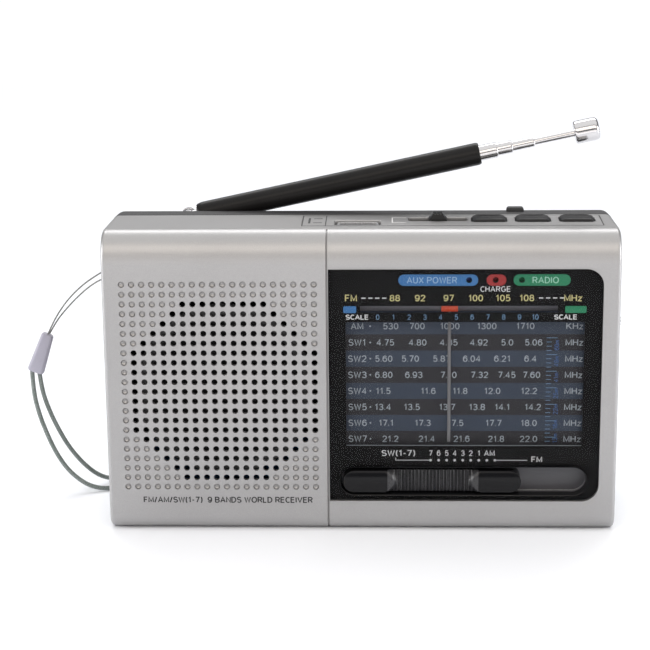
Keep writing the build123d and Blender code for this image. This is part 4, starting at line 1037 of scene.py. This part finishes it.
class Printing:
    """Collects lettering and marks on one plane, with a mesh for each ink."""

    def __init__(self, y):
        self.y = y
        self.meshes = {}

    def sheet(self, ink):
        """The mesh that holds one ink."""
        if ink not in self.meshes:
            self.meshes[ink] = bmesh.new()
        return self.meshes[ink]

    def text(self, words, x, z, height, ink, stretch=1.0, weight=0.16, turn=0.0):
        """Lettering with a given capital height, centred on x and z."""
        scale = height / (1 + weight)
        width = sum(glyph_width(letter) for letter in words) + LETTER_GAP * (len(words) - 1)
        cursor = -width / 2
        cos, sin = math.cos(math.radians(turn)), math.sin(math.radians(turn))
        bm = self.sheet(ink)
        for letter in words:
            for stroke in GLYPHS[letter]:
                path = stroke_points(stroke)
                closed = len(path) > 3 and math.dist(path[0], path[-1]) < 1e-6
                rails = []
                for side in ribbon(path, weight / 2, closed):
                    rail = []
                    for u, v in side:
                        across, up = (cursor + u) * scale * stretch, (v - 0.5) * scale
                        place = (x + across * cos - up * sin, self.y, z + across * sin + up * cos)
                        rail.append(bm.verts.new(place))
                    rails.append(rail)
                bridge(bm, *rails, closed)
            cursor += glyph_width(letter) + LETTER_GAP

    def shape(self, points, ink):
        """A filled outline of (x, z) points."""
        bm = self.sheet(ink)
        bm.faces.new([bm.verts.new((x, self.y, z)) for x, z in points])

    def bar(self, x0, x1, z0, z1, ink):
        """A plain rectangle."""
        self.shape([(x0, z0), (x1, z0), (x1, z1), (x0, z1)], ink)

    def build(self, name, slot):
        """Makes one object for each ink, with a little thickness."""
        for ink, bm in self.meshes.items():
            bm.normal_update()
            made = bmesh.ops.extrude_face_region(bm, geom=list(bm.faces))["geom"]
            moved = [item for item in made if isinstance(item, bmesh.types.BMVert)]
            bmesh.ops.translate(bm, vec=(0, -0.015, 0), verts=moved)
            make_object(f"{name}_{ink}", bm, "case", slot, INK[ink], smooth=0)


def print_dial():
    """Numbers and names of the bands on the scale plate, and the blue wavelength ladder."""
    sheet = Printing(PLATE_Y - 0.01)
    for row, (name, marks) in enumerate(BANDS):
        z = ROWS_TOP - ROW_STEP * row
        ink = "grey"
        sheet.text(name, LABEL_X, z, 2.2, ink, stretch=1.12)
        sheet.shape(circle_points(DOT_X, z, 0.28, 10), ink)
        sheet.text("MHz" if row else "KHz", UNIT_X, z, 2.15, ink, stretch=1.22)
        for words, x in marks:
            sheet.text(words, x - 0.006 * x, z, 2.1, ink, stretch=1.12)
    for step in range(26):
        z = 62.6 - 1.36 * step
        length = 3.4 if step % 4 == 0 else 1.6
        sheet.bar(58.2, 58.2 + length, z - 0.09, z + 0.09, "pale_blue")
    names = ("60m", "49m", "41m", "25m", "22m", "16m", "13m")
    for words, z in zip(names, (60.2, 55.0, 49.7, 44.4, 39.2, 34.2, 29.6)):
        sheet.text(words, 61.4, z, 1.5, "deep_blue", turn=90.0)
    sheet.bar(-4.8, 70.2, 27.05, 27.3, "grey")
    sheet.build("dial_print", "scale")


def print_mask():
    """Lamp labels, FM row, logging scale and band scale on the window's back."""
    sheet = Printing(PRINT_Y)
    lamps = (
        (11.8, 36.5, "blue", LAMPS_X[0]),
        (39.1, 45.2, "red", LAMPS_X[1]),
        (47.4, 65.0, "green", LAMPS_X[2]),
    )
    for x0, x1, ink, hole in lamps:
        middle = (x0 + x1) / 2
        half = (x1 - x0) / 2
        bm = outline_mesh(
            [
                rounded_box_points(middle - half, middle + half, 80.1, 83.7, (1.79,) * 4, 8),
                circle_points(hole, LAMP_Z, LAMP_HOLE_R, 20),
            ],
            PRINT_Y - 0.01,
            PRINT_Y + 0.01,
        )
        make_object(f"lamp_label_{ink}", bm, "case", "scale", INK[ink], smooth=0)
    front = Printing(PRINT_Y - 0.03)
    front.text("AUX POWER", 22.2, LAMP_Z, 2.05, "sky", stretch=1.13)
    front.text("RADIO", 57.3, LAMP_Z, 2.05, "pale_green", stretch=1.15)
    front.build("lamp_print", "scale")
    sheet.text("CHARGE", 41.9, 79.05, 1.8, "white", stretch=1.15)
    z = 76.2
    sheet.text("FM", -2.9, z, 2.25, "yellow", stretch=1.15)
    for words, x in (("88", 10.8), ("92", 18.7), ("97", 27.6), ("100", 36.0), ("105", 44.5), ("108", 51.9)):
        sheet.text(words, x - 0.006 * x, z, 2.1, "yellow", stretch=1.15)
    sheet.text("MHz", 65.9, z, 2.2, "yellow", stretch=1.2)
    for start in (1.0, 56.0):
        for dash in range(4):
            x = start + 2.15 * dash
            sheet.bar(x - 0.65, x + 0.65, z - 0.18, z + 0.18, "white")
    sheet.shape(rounded_box_points(-5.3, -1.3, 71.4, 73.6, (0.4,) * 4, 3), "blue")
    sheet.shape(rounded_box_points(63.5, 70.1, 71.4, 73.6, (0.4,) * 4, 3), "green")
    z = 70.1
    sheet.text("SCALE", -1.0, z, 1.65, "white", stretch=1.26, weight=0.22)
    sheet.text("SCALE", 63.7, z, 1.65, "white", stretch=1.26, weight=0.22)
    for number in range(11):
        sheet.text(str(number), 5.4 + 4.89 * number, z, 1.75, "pale_blue")
    z = 25.6
    sheet.text("SW(1-7)", 11.8, z, 2.0, "white", stretch=1.27)
    for place, words in enumerate("7654321"):
        sheet.text(words, 22.05 + 2.54 * place, z, 1.85, "white")
    sheet.text("AM", 40.6, z, 1.95, "white", stretch=1.08)
    z = 23.25
    for place in range(9):
        sheet.shape(circle_points(22.05 + 2.54 * place, z, 0.42, 14), "white")
    sheet.bar(10.9, 22.0, z - 0.1, z + 0.1, "white")
    sheet.bar(10.9, 11.1, z, z + 0.8, "white")
    sheet.bar(42.4, 52.6, z - 0.1, z + 0.1, "white")
    sheet.text("FM", 55.6, z + 0.3, 1.95, "white", stretch=1.22)
    sheet.build("window_print", "scale")


def print_front():
    """The legend under the grille."""
    sheet = Printing(FRONT_Y - 0.012)
    sheet.text("FM/AM/SW(1-7)  9 BANDS WORLD RECEIVER", -42.45, 10.5, 2.05, "dark", stretch=1.13, weight=0.21)
    sheet.build("legend", "silver_plastic")


add_lens()
add_mask()
add_dial_plate()
print_dial()
print_mask()
print_front()


def add_pointer():
    """The red pointer head in its slot and the grey needle over the bands."""
    bm = bmesh.new()
    block(bm, 25.2, 30.4, -18.4, -17.2, POINTER_Z - 1.1, POINTER_Z + 1.1)
    block(bm, 26.0, 29.6, -17.4, -16.6, POINTER_Z - 0.8, POINTER_Z + 0.6)
    make_object("pointer_head", bm, "pointer", "red_plastic", RED, replaces=["pointer_carriage"], bevel=0.15)
    bm = bmesh.new()
    block(bm, 27.3, 28.3, -17.8, -17.3, 28.6, POINTER_Z - 1.1)
    block(bm, 27.55, 28.05, -18.0, -17.7, 28.6, POINTER_Z - 1.1)
    make_object("needle", bm, "pointer", "needle", NEEDLE, replaces=["pointer_needle"], bevel=0.1)


add_pointer()


# ---------------------------------------------------------------- band selector
def add_band_tray():
    """The recessed tray behind the slot, its black rim and the steel trim under it."""
    tray = rounded_box_points(-7.8, 72.6, 11.0, 22.6, (5.7,) * 4, 14)
    bm = outline_mesh([tray, slot_outline()], MASK_Y + 0.8, TRAY_Y)
    outline_mesh([tray], TRAY_Y, TRAY_Y + 1.0, 0.0, bm)
    make_object("slot_tray", bm, "case", "tray_grey", TRAY_GREY, replaces=["band_tray"], smooth=40.0)
    bm = bmesh.new()
    steps = ((0.0, FRONT_Y + 0.08), (0.2, FRONT_Y + 0.2), (0.42, -20.6), (0.48, -19.0), (0.0, -19.0))
    rings = []
    for inset, y in steps:
        rings.append(add_loop(bm, [(x, y, z) for x, z in slot_outline(inset)]))
    for one, two in zip(rings, rings[1:] + rings[:1]):
        bridge(bm, one, two)
    make_object("slot_rim", bm, "case", "tray_grey", GLOSS_BLACK, smooth=40.0)
    bm = outline_mesh([slot_outline(-0.35), slot_outline(0.05)], -16.3, -15.9, 0.05)
    make_object("slot_trim", bm, "case", "metal", STEEL, smooth=40.0)


KNOB = (-5.7, 50.6, 13.1, 20.3)
KNOB_MIDDLE = (KNOB[2] + KNOB[3]) / 2
KNOB_HALF = (KNOB[3] - KNOB[2]) / 2
KNOB_Y = -22.6
KNOB_SEAT_Y = -16.1
SCOOP = (9.0, 36.5)  # from and to, in x


def knob_height(x, z):
    """How far the knob's face stands forward of its seat at x and z."""
    off_centre = ((z - KNOB_MIDDLE) / KNOB_HALF) ** 2
    crown = 0.6 * off_centre
    centre = (SCOOP[0] + SCOOP[1]) / 2
    reach = (SCOOP[1] - SCOOP[0]) / 2 - 2.4 * (1 - off_centre) + 1.6
    away = abs(x - centre) / reach
    scoop = 0.0
    if away < 1.0:
        edge = min(1.0, (1.0 - away) / 0.16)
        scoop = 1.5 * edge * edge * (3 - 2 * edge)
    rib = 0.0
    if scoop > 1.2:
        rib = 0.34 * math.cos(2 * math.pi * (x - centre) / 1.12)
    return -crown - scoop + rib


def add_band_knob():
    """The long black knob: smooth rounded ends and a scooped, ribbed grip."""
    bm = bmesh.new()
    columns, rows = 280, 16
    grid = []
    for i in range(columns + 1):
        x = KNOB[0] + (KNOB[1] - KNOB[0]) * i / columns
        end = min(x - KNOB[0], KNOB[1] - x)
        round_off = min(1.0, end / KNOB_HALF)
        reach = KNOB_HALF * math.sqrt(max(0.0, 1 - (1 - round_off) ** 2)) if round_off < 1 else KNOB_HALF
        reach = max(reach, 0.05)
        line = []
        for j in range(rows + 1):
            z = KNOB_MIDDLE + reach * math.sin(math.pi / 2 * (2 * j / rows - 1))
            rim = 1 - abs(2 * j / rows - 1)
            soft = min(1.0, 6 * rim) * min(1.0, end / 0.8)
            y = KNOB_Y + (1 - math.sqrt(max(0.0, 1 - (1 - soft) ** 2))) * 0.7 - knob_height(x, z)
            line.append(bm.verts.new((x, y, z)))
        grid.append(line)
    for one, two in zip(grid, grid[1:]):
        bridge(bm, one, two, closed=False)
    for face in bm.faces:
        x = face.calc_center_median().x
        face.material_index = int(SCOOP[0] - 0.6 < x < SCOOP[1] + 0.6)
    border = [line[0] for line in grid] + grid[-1][1:] + [line[-1] for line in reversed(grid[:-1])]
    border += list(reversed(grid[0][1:-1]))
    low = [bm.verts.new((vert.co.x, KNOB_SEAT_Y, vert.co.z)) for vert in border]
    bridge(bm, border, low)
    bm.faces.new(low)
    block(bm, 20.8, 23.8, -16.2, -9.0, 15.9, 17.7)
    looks = (GLOSS_BLACK, GRIP_BLACK)
    make_object("band_slider", bm, "band", "black_plastic", *looks, replaces=["band_knob"], smooth=50.0)


add_band_tray()
add_band_knob()


# ---------------------------------------------------------------- antenna
LIFT = math.radians(12.1)
PIVOT = (-57.0, 18.3, 94.5)
ALONG = (math.cos(LIFT), 0.0, math.sin(LIFT))


def antenna_piece(name, profile, body, slot, material, replaces, count=40):
    """A turned piece of the antenna, from (radius, distance from the pivot) points."""
    bm = bmesh.new()
    lathe(bm, profile, PIVOT, ALONG, count)
    make_object(name, bm, body, slot, material, replaces=replaces, smooth=35.0)


def add_antenna():
    """Foot and fork, black sleeve, three chromed tubes, the rod and its cap."""
    bm = bmesh.new()
    lathe(
        bm,
        [(1.85, -8.4), (1.85, -4.0), (2.9, -3.9), (3.1, -3.7), (3.1, -3.1), (2.9, -2.9), (2.4, -2.85)],
        PIVOT,
        (0, 0, 1),
        36,
    )
    for side in (-1, 1):
        y = PIVOT[1] + side * 2.45
        ear = circle_points(PIVOT[0], PIVOT[2], 2.4, 32)
        ear = [(x, z) for x, z in ear if z >= PIVOT[2]] + [(-59.4, 91.4), (-54.6, 91.4)]
        outline_mesh([ear], y - 0.65, y + 0.65, 0.15, bm)
    make_object(
        "antenna_fork", bm, "antenna_swivel", "metal", CHROME, replaces=["antenna_foot"], smooth=35.0
    )
    bm = bmesh.new()
    pin = [(1.5, -3.5), (1.6, -3.1), (0.9, -3.1), (0.9, 3.1), (1.6, 3.1), (1.5, 3.5)]
    lathe(bm, pin, PIVOT, (0, 1, 0), 28)
    make_object("antenna_hinge_pin", bm, "antenna_swivel", "metal", STEEL, replaces=["antenna_pin"])

    bm = bmesh.new()
    lathe(bm, [(2.2, -1.55), (2.3, -1.35), (2.3, 1.35), (2.2, 1.55)], PIVOT, (0, 1, 0), 32)
    lathe(
        bm,
        [(1.5, 1.0), (1.6, 3.0), (3.0, 3.4), (3.0, 97.2), (2.85, 97.45), (2.6, 97.45), (2.6, 40.0)],
        PIVOT,
        ALONG,
    )
    make_object("antenna_core", bm, "antenna_arm", "metal", CHROME, replaces=["antenna_base"])
    antenna_piece(
        "antenna_grip",
        [
            (2.3, 3.4),
            (2.9, 3.45),
            (3.3, 3.9),
            (3.6, 5.2),
            (3.65, 6.4),
            (3.65, 96.4),
            (3.55, 97.1),
            (3.2, 97.5),
            (3.05, 97.5),
            (3.05, 4.0),
        ],
        "antenna_arm",
        "sleeve_black",
        SLEEVE_BLACK,
        ["antenna_sleeve"],
        56,
    )
    sections = (
        ("antenna_tube_a", 2.5, 54.0, 103.3, "antenna_tube_1", "antenna_section_1"),
        ("antenna_tube_b", 2.05, 62.0, 108.2, "antenna_tube_2", "antenna_section_2"),
        ("antenna_tube_c", 1.6, 72.0, 115.5, "antenna_tube_3", "antenna_section_3"),
    )
    for name, radius, start, end, body, node in sections:
        profile = [
            (radius, start),
            (radius, end - 0.6),
            (radius - 0.12, end - 0.25),
            (radius - 0.3, end - 0.02),
            (radius - 0.42, end),
            (radius - 0.42, start + 0.5),
        ]
        antenna_piece(name, profile, body, "metal", CHROME, [node])
    antenna_piece(
        "antenna_wire",
        [(1.1, 88.0), (1.1, 128.5)],
        "antenna_tip",
        "metal",
        CHROME,
        ["antenna_rod"],
        32,
    )
    cap = [(1.0, 128.5), (2.9, 128.5), (3.4, 128.65), (3.65, 129.0), (3.7, 129.5), (3.7, 134.9)]
    cap += [(3.6, 135.6), (3.2, 136.2), (2.6, 136.45), (0.4, 136.5)]
    antenna_piece("antenna_end_cap", cap, "antenna_tip", "metal", CHROME, ["antenna_cap"], 48)


add_antenna()


# ---------------------------------------------------------------- side wheels
def add_wheel(name, x, z, radius, y0, y1, body, replaces):
    """A knurled thumb wheel with a rounded rim."""
    bm = bmesh.new()
    teeth = int(radius * 6)
    rings = []
    edge = ((1.0, 0.0), (0.35, 0.12), (0.05, 0.6))
    levels = [(inset, y0 + deep) for inset, deep in edge]
    levels += [(inset, y1 - deep) for inset, deep in reversed(edge)]
    for inset, y in levels:
        ring = []
        for step in range(teeth * 4):
            turn = 2 * math.pi * step / (teeth * 4)
            grip = (0.22, 0.0, -0.22, 0.0)[step % 4] - 0.2 if inset < 0.3 else -0.3
            reach = radius - inset + grip
            ring.append((x + reach * math.cos(turn), y, z + reach * math.sin(turn)))
        rings.append(add_loop(bm, ring))
    for one, two in zip(rings, rings[1:]):
        bridge(bm, one, two)
    for ring, y in ((rings[0], y0), (rings[-1], y1)):
        inner = [bm.verts.new((x + (v.co.x - x) * 0.25, y, z + (v.co.z - z) * 0.25)) for v in ring]
        bridge(bm, ring, inner)
        bm.faces.new(inner)
    make_object(name, bm, body, "dark_plastic", DARK, replaces=replaces, smooth=40.0)


add_wheel("tuning_thumb_wheel", *TUNING_WHEEL, *WHEEL_Y, "tuning", ["tuning_wheel"])
add_wheel("volume_thumb_wheel", *VOLUME_WHEEL, *WHEEL_Y, "volume", ["volume_wheel"])


# ---------------------------------------------------------------- strap bead
def add_bead():
    """The flat lavender clip between the thread and the braid."""
    top = Vector((-104.5, 15.0, 55.3))
    low = Vector((-109.4, 16.0, 42.2))
    down = (low - top).normalized()
    across = Vector((-down.z, 0, down.x)).normalized()
    deep = down.cross(across)
    bm = bmesh.new()
    length = (low - top).length
    rings = []
    cuts = ((0.0, 0.7), (0.025, 0.25), (0.06, 0.0), (0.5, 0.0), (0.94, 0.0), (0.975, 0.25), (1.0, 0.7))
    for share, cut in cuts:
        width = 2.8 + (3.6 - 2.8) * share - 2 * cut * 0.6
        depth = 4.0 + (5.7 - 4.0) * share - 2 * cut * 0.6
        radius = min(width, depth) * 0.36
        points = rounded_box_points(-depth / 2, depth / 2, -width / 2, width / 2, (radius,) * 4, 6)
        centre = top + down * length * share
        rings.append(add_loop(bm, [centre + across * x + deep * z for x, z in points]))
    for one, two in zip(rings, rings[1:]):
        bridge(bm, one, two)
    bm.faces.new(rings[0])
    bm.faces.new(rings[-1])
    make_object("strap_bead_clip", bm, "case", "bead", BEAD, replaces=["strap_bead"], smooth=45.0)


add_bead()


# ---------------------------------------------------------------- back and inner details
def add_battery_door():
    """The sliding battery door with grip ridges and an arrow."""
    outline = rounded_box_points(-68.7, -5.3, 4.8, 21.2, (1.0,) * 4, 6)
    bm = outline_mesh([outline], 20.0, 21.9, 0.25)
    for step in range(6):
        x = -12.5 - 1.6 * step
        ridge = rounded_box_points(x - 0.35, x + 0.35, 8.5, 17.5, (0.34,) * 4, 5)
        outline_mesh([ridge], 21.7, 22.15, 0.1, bm)
    outline_mesh([[(-56.0, 9.8), (-56.0, 16.2), (-61.0, 13.0)]], 21.8, 22.1, 0.05, bm)
    make_object(
        "battery_hatch", bm, "battery_door", "dark_plastic", DARK, replaces=["battery_door"], smooth=35.0
    )


def add_screws():
    """Cross-head screws in the back's counterbores."""
    profile = [(0.9, 10.0), (0.9, 19.2), (1.9, 19.3), (2.1, 19.7), (1.8, 20.3), (0.9, 20.6)]
    for index, (x, z) in enumerate(SCREWS):
        bm = bmesh.new()
        lathe(bm, profile, (x, 0, z), (0, 1, 0), 32)
        replaces = ["case_screws"] if index == 0 else ()
        obj = make_object(f"screw_{index}", bm, "case", "steel", STEEL, replaces=replaces, smooth=40.0)
        carve(obj, block(bmesh.new(), x - 1.2, x + 1.2, 19.7, 21.0, z - 0.25, z + 0.25))
        carve(obj, block(bmesh.new(), x - 0.25, x + 0.25, 19.7, 21.0, z - 1.2, z + 1.2))
        shade(obj, 40.0)


def add_usb():
    """The charging socket: a folded shell and its tongue."""
    bm = bmesh.new()
    outer = rounded_box_points(-7.45, 5.65, -7.85, -2.15, (0.6,) * 4, 5)
    inner = rounded_box_points(-6.95, 5.15, -7.35, -2.65, (0.4,) * 4, 5)
    outline_mesh([outer, inner], -96.5, -88.0, 0.08, bm)
    bmesh.ops.transform(bm, matrix=Matrix.Rotation(-math.pi / 2, 4, "X"), verts=bm.verts)
    block(bm, -6.9, 5.1, -7.3, -2.7, 88.0, 89.0)
    make_object("usb_socket_shell", bm, "case", "steel", STEEL, replaces=["usb_shell"], smooth=40.0)
    bm = bmesh.new()
    block(bm, -5.9, 4.1, -4.1, -2.9, 88.2, 94.5, 0)
    for pin in range(4):
        x = -4.4 + 2.33 * pin
        block(bm, x - 0.5, x + 0.5, -4.2, -4.05, 89.0, 94.3, 1)
    looks = (WHITE_PLASTIC, STEEL)
    make_object("usb_socket_tongue", bm, "case", "white_plastic", *looks, replaces=["usb_tongue"], bevel=0.06)


def add_lamps():
    """Three domed indicator lamps behind the surround."""
    dome = [(0.1, -18.8), (0.5, -18.7), (0.85, -18.35), (1.0, -17.8), (1.0, -15.2)]
    lamps = (
        ("led_blue", LED_BLUE, "led_b"),
        ("led_red", LED_RED, "led_r"),
        ("led_green", LED_GREEN, "led_g"),
    )
    for x, (name, material, slot) in zip(LAMPS_X, lamps):
        bm = bmesh.new()
        lathe(bm, dome, (x, 0, LAMP_Z), (0, 1, 0), 28)
        make_object(name + "_lens", bm, "case", slot, material, replaces=[name])


def add_speaker():
    """Frame, corrugated cone and dust cap seen through the grille."""
    centre = (GRILLE_X, 0.0, GRILLE_Z)
    bm = bmesh.new()
    profile = [(24.0, -19.4), (24.6, -19.8), (27.6, -19.8), (28.0, -19.4), (28.0, -18.2), (26.5, -18.0)]
    profile += [(22.0, -12.0), (14.0, -6.0), (13.0, -5.6), (8.0, -5.5)]
    lathe(bm, profile, centre, (0, 1, 0), 72)
    bm.faces.ensure_lookup_table()
    bmesh.ops.delete(bm, geom=[bm.faces[-2]], context="FACES_ONLY")
    make_object("speaker_basket", bm, "case", "steel", MAGNET, replaces=["speaker_frame"])
    bm = bmesh.new()
    profile = [(24.3, -18.9), (23.5, -19.3), (22.4, -19.4), (21.4, -19.2)]
    profile += [(20.8, -18.5), (19.6, -17.6), (18.2, -16.7)]
    profile += [(16.8, -16.3), (15.0, -15.0), (12.0, -13.2), (8.0, -11.4), (5.5, -10.9)]
    lathe(bm, profile, centre, (0, 1, 0), 72)
    bm.faces.ensure_lookup_table()
    bmesh.ops.delete(bm, geom=[bm.faces[-2]], context="FACES_ONLY")
    make_object("speaker_diaphragm", bm, "case", "paper_cone", PAPER, replaces=["speaker_cone"])
    bm = bmesh.new()
    profile = [(0.1, -14.2), (2.0, -14.05), (4.0, -13.5), (5.8, -12.5), (7.0, -11.6), (7.2, -11.3)]
    lathe(bm, profile, centre, (0, 1, 0), 48)
    make_object("speaker_cap", bm, "case", "paper_cone", PAPER, replaces=["speaker_dust_cap"])


add_battery_door()
add_screws()
add_usb()
add_lamps()
add_speaker()


# ---------------------------------------------------------------- carried-over CAD nodes
CARRIED = {
    "tact_switches": COMPONENT,
    "function_switch": STEEL,
    "control_pcb": BOARD,
    "main_pcb": BOARD,
    "board_parts": COMPONENT,
    "ferrite_rod": FERRITE,
    "ferrite_coil": COPPER,
    "rod_holders": WHITE_PLASTIC,
    "dial_chassis": CHASSIS_GREY,
    "tuning_axle": STEEL,
    "dial_drum": WHITE_PLASTIC,
    "cord_guide_left": WHITE_PLASTIC,
    "cord_guide_right": WHITE_PLASTIC,
    "tuning_capacitor": STEEL,
    "dial_cord": THREAD,
    "volume_pot": STEEL,
    "band_switch_body": COMPONENT,
    "speaker_magnet": MAGNET,
    "battery_cell": CELL_WRAP,
    "battery_contacts": STEEL,
    "earphone_jack": COMPONENT,
}


def dress_carried_nodes():
    """Gives the inner CAD parts their finishes."""
    for obj in scene.objects:
        node = obj.name.split(".")[0]
        if obj.type == "MESH" and node in CARRIED:
            for slot in obj.material_slots:
                slot.material = CARRIED[node]


dress_carried_nodes()


# ---------------------------------------------------------------- light and floor
def add_area(name, place, target, size_x, size_y, power, color=(1.0, 1.0, 1.0)):
    """A soft rectangular lamp facing a target."""
    data = bpy.data.lights.new(name, "AREA")
    data.shape = "RECTANGLE"
    data.size = size_x
    data.size_y = size_y
    data.energy = power
    data.color = color
    lamp = bpy.data.objects.new(name, data)
    aim = Vector(target) - Vector(place)
    lamp.rotation_euler = aim.to_track_quat("-Z", "Y").to_euler()
    lamp.location = place
    collection.objects.link(lamp)


def add_studio():
    """A white sweep under a bright, even sky with soft boxes."""
    world = bpy.data.worlds.new("studio")
    world.use_nodes = True
    background = world.node_tree.nodes["Background"]
    place = world.node_tree.nodes.new("ShaderNodeTexCoord")
    split = world.node_tree.nodes.new("ShaderNodeSeparateXYZ")
    world.node_tree.links.new(place.outputs["Generated"], split.inputs["Vector"])
    sky = ramp(
        world.node_tree,
        split.outputs["Z"],
        (0.0, (0.14, 0.15, 0.18)),
        (0.12, (0.18, 0.19, 0.21)),
        (0.4, (0.42, 0.42, 0.43)),
        (0.75, (1.0, 0.99, 0.97)),
    )
    world.node_tree.links.new(sky, background.inputs["Color"])
    background.inputs["Strength"].default_value = 0.62
    scene.world = world
    add_area("top_box", (0.0, -0.05, 0.75), (0.0, 0.0, 0.05), 1.6, 0.7, 2.0)
    add_area("front_box", (0.0, -0.34, 0.34), (0.0, -0.02, 0.1), 0.9, 0.2, 1.0, (1.0, 0.92, 0.83))
    add_area("low_box", (0.0, -0.21, 0.1), (0.0, 0.0, 0.12), 0.6, 0.08, 0.16, (1.0, 0.95, 0.9))
    add_area("far_box", (0.0, 2.3, 2.3), (0.0, 1.8, 0.0), 3.0, 1.8, 60.0)
    add_area("left_box", (-0.9, -0.1, 0.2), (0.0, 0.0, 0.05), 0.4, 0.5, 4.5)
    add_area("right_box", (0.9, -0.1, 0.2), (0.0, 0.0, 0.05), 0.4, 0.5, 4.5)
    scene.view_settings.view_transform = "Standard"

    material, tree, shader = new_material("sweep_white")
    tree.links.new(
        ramp(tree, noise(tree, 8.0, 2.0), (0.3, (0.9, 0.92, 0.965)), (0.7, (0.92, 0.94, 0.98))),
        shader.inputs["Base Color"],
    )
    shader.inputs["Roughness"].default_value = 0.6
    bm = bmesh.new()
    size = 4000.0
    corners = ((-size, -size, 0), (size, -size, 0), (size, size, 0), (-size, size, 0))
    bm.faces.new([bm.verts.new(place) for place in corners])
    bmesh.ops.scale(bm, vec=(MM, MM, MM), verts=bm.verts)
    mesh = bpy.data.meshes.new("sweep")
    bm.to_mesh(mesh)
    bm.free()
    mesh.materials.append(material)
    floor = bpy.data.objects.new("sweep", mesh)
    collection.objects.link(floor)


add_studio()
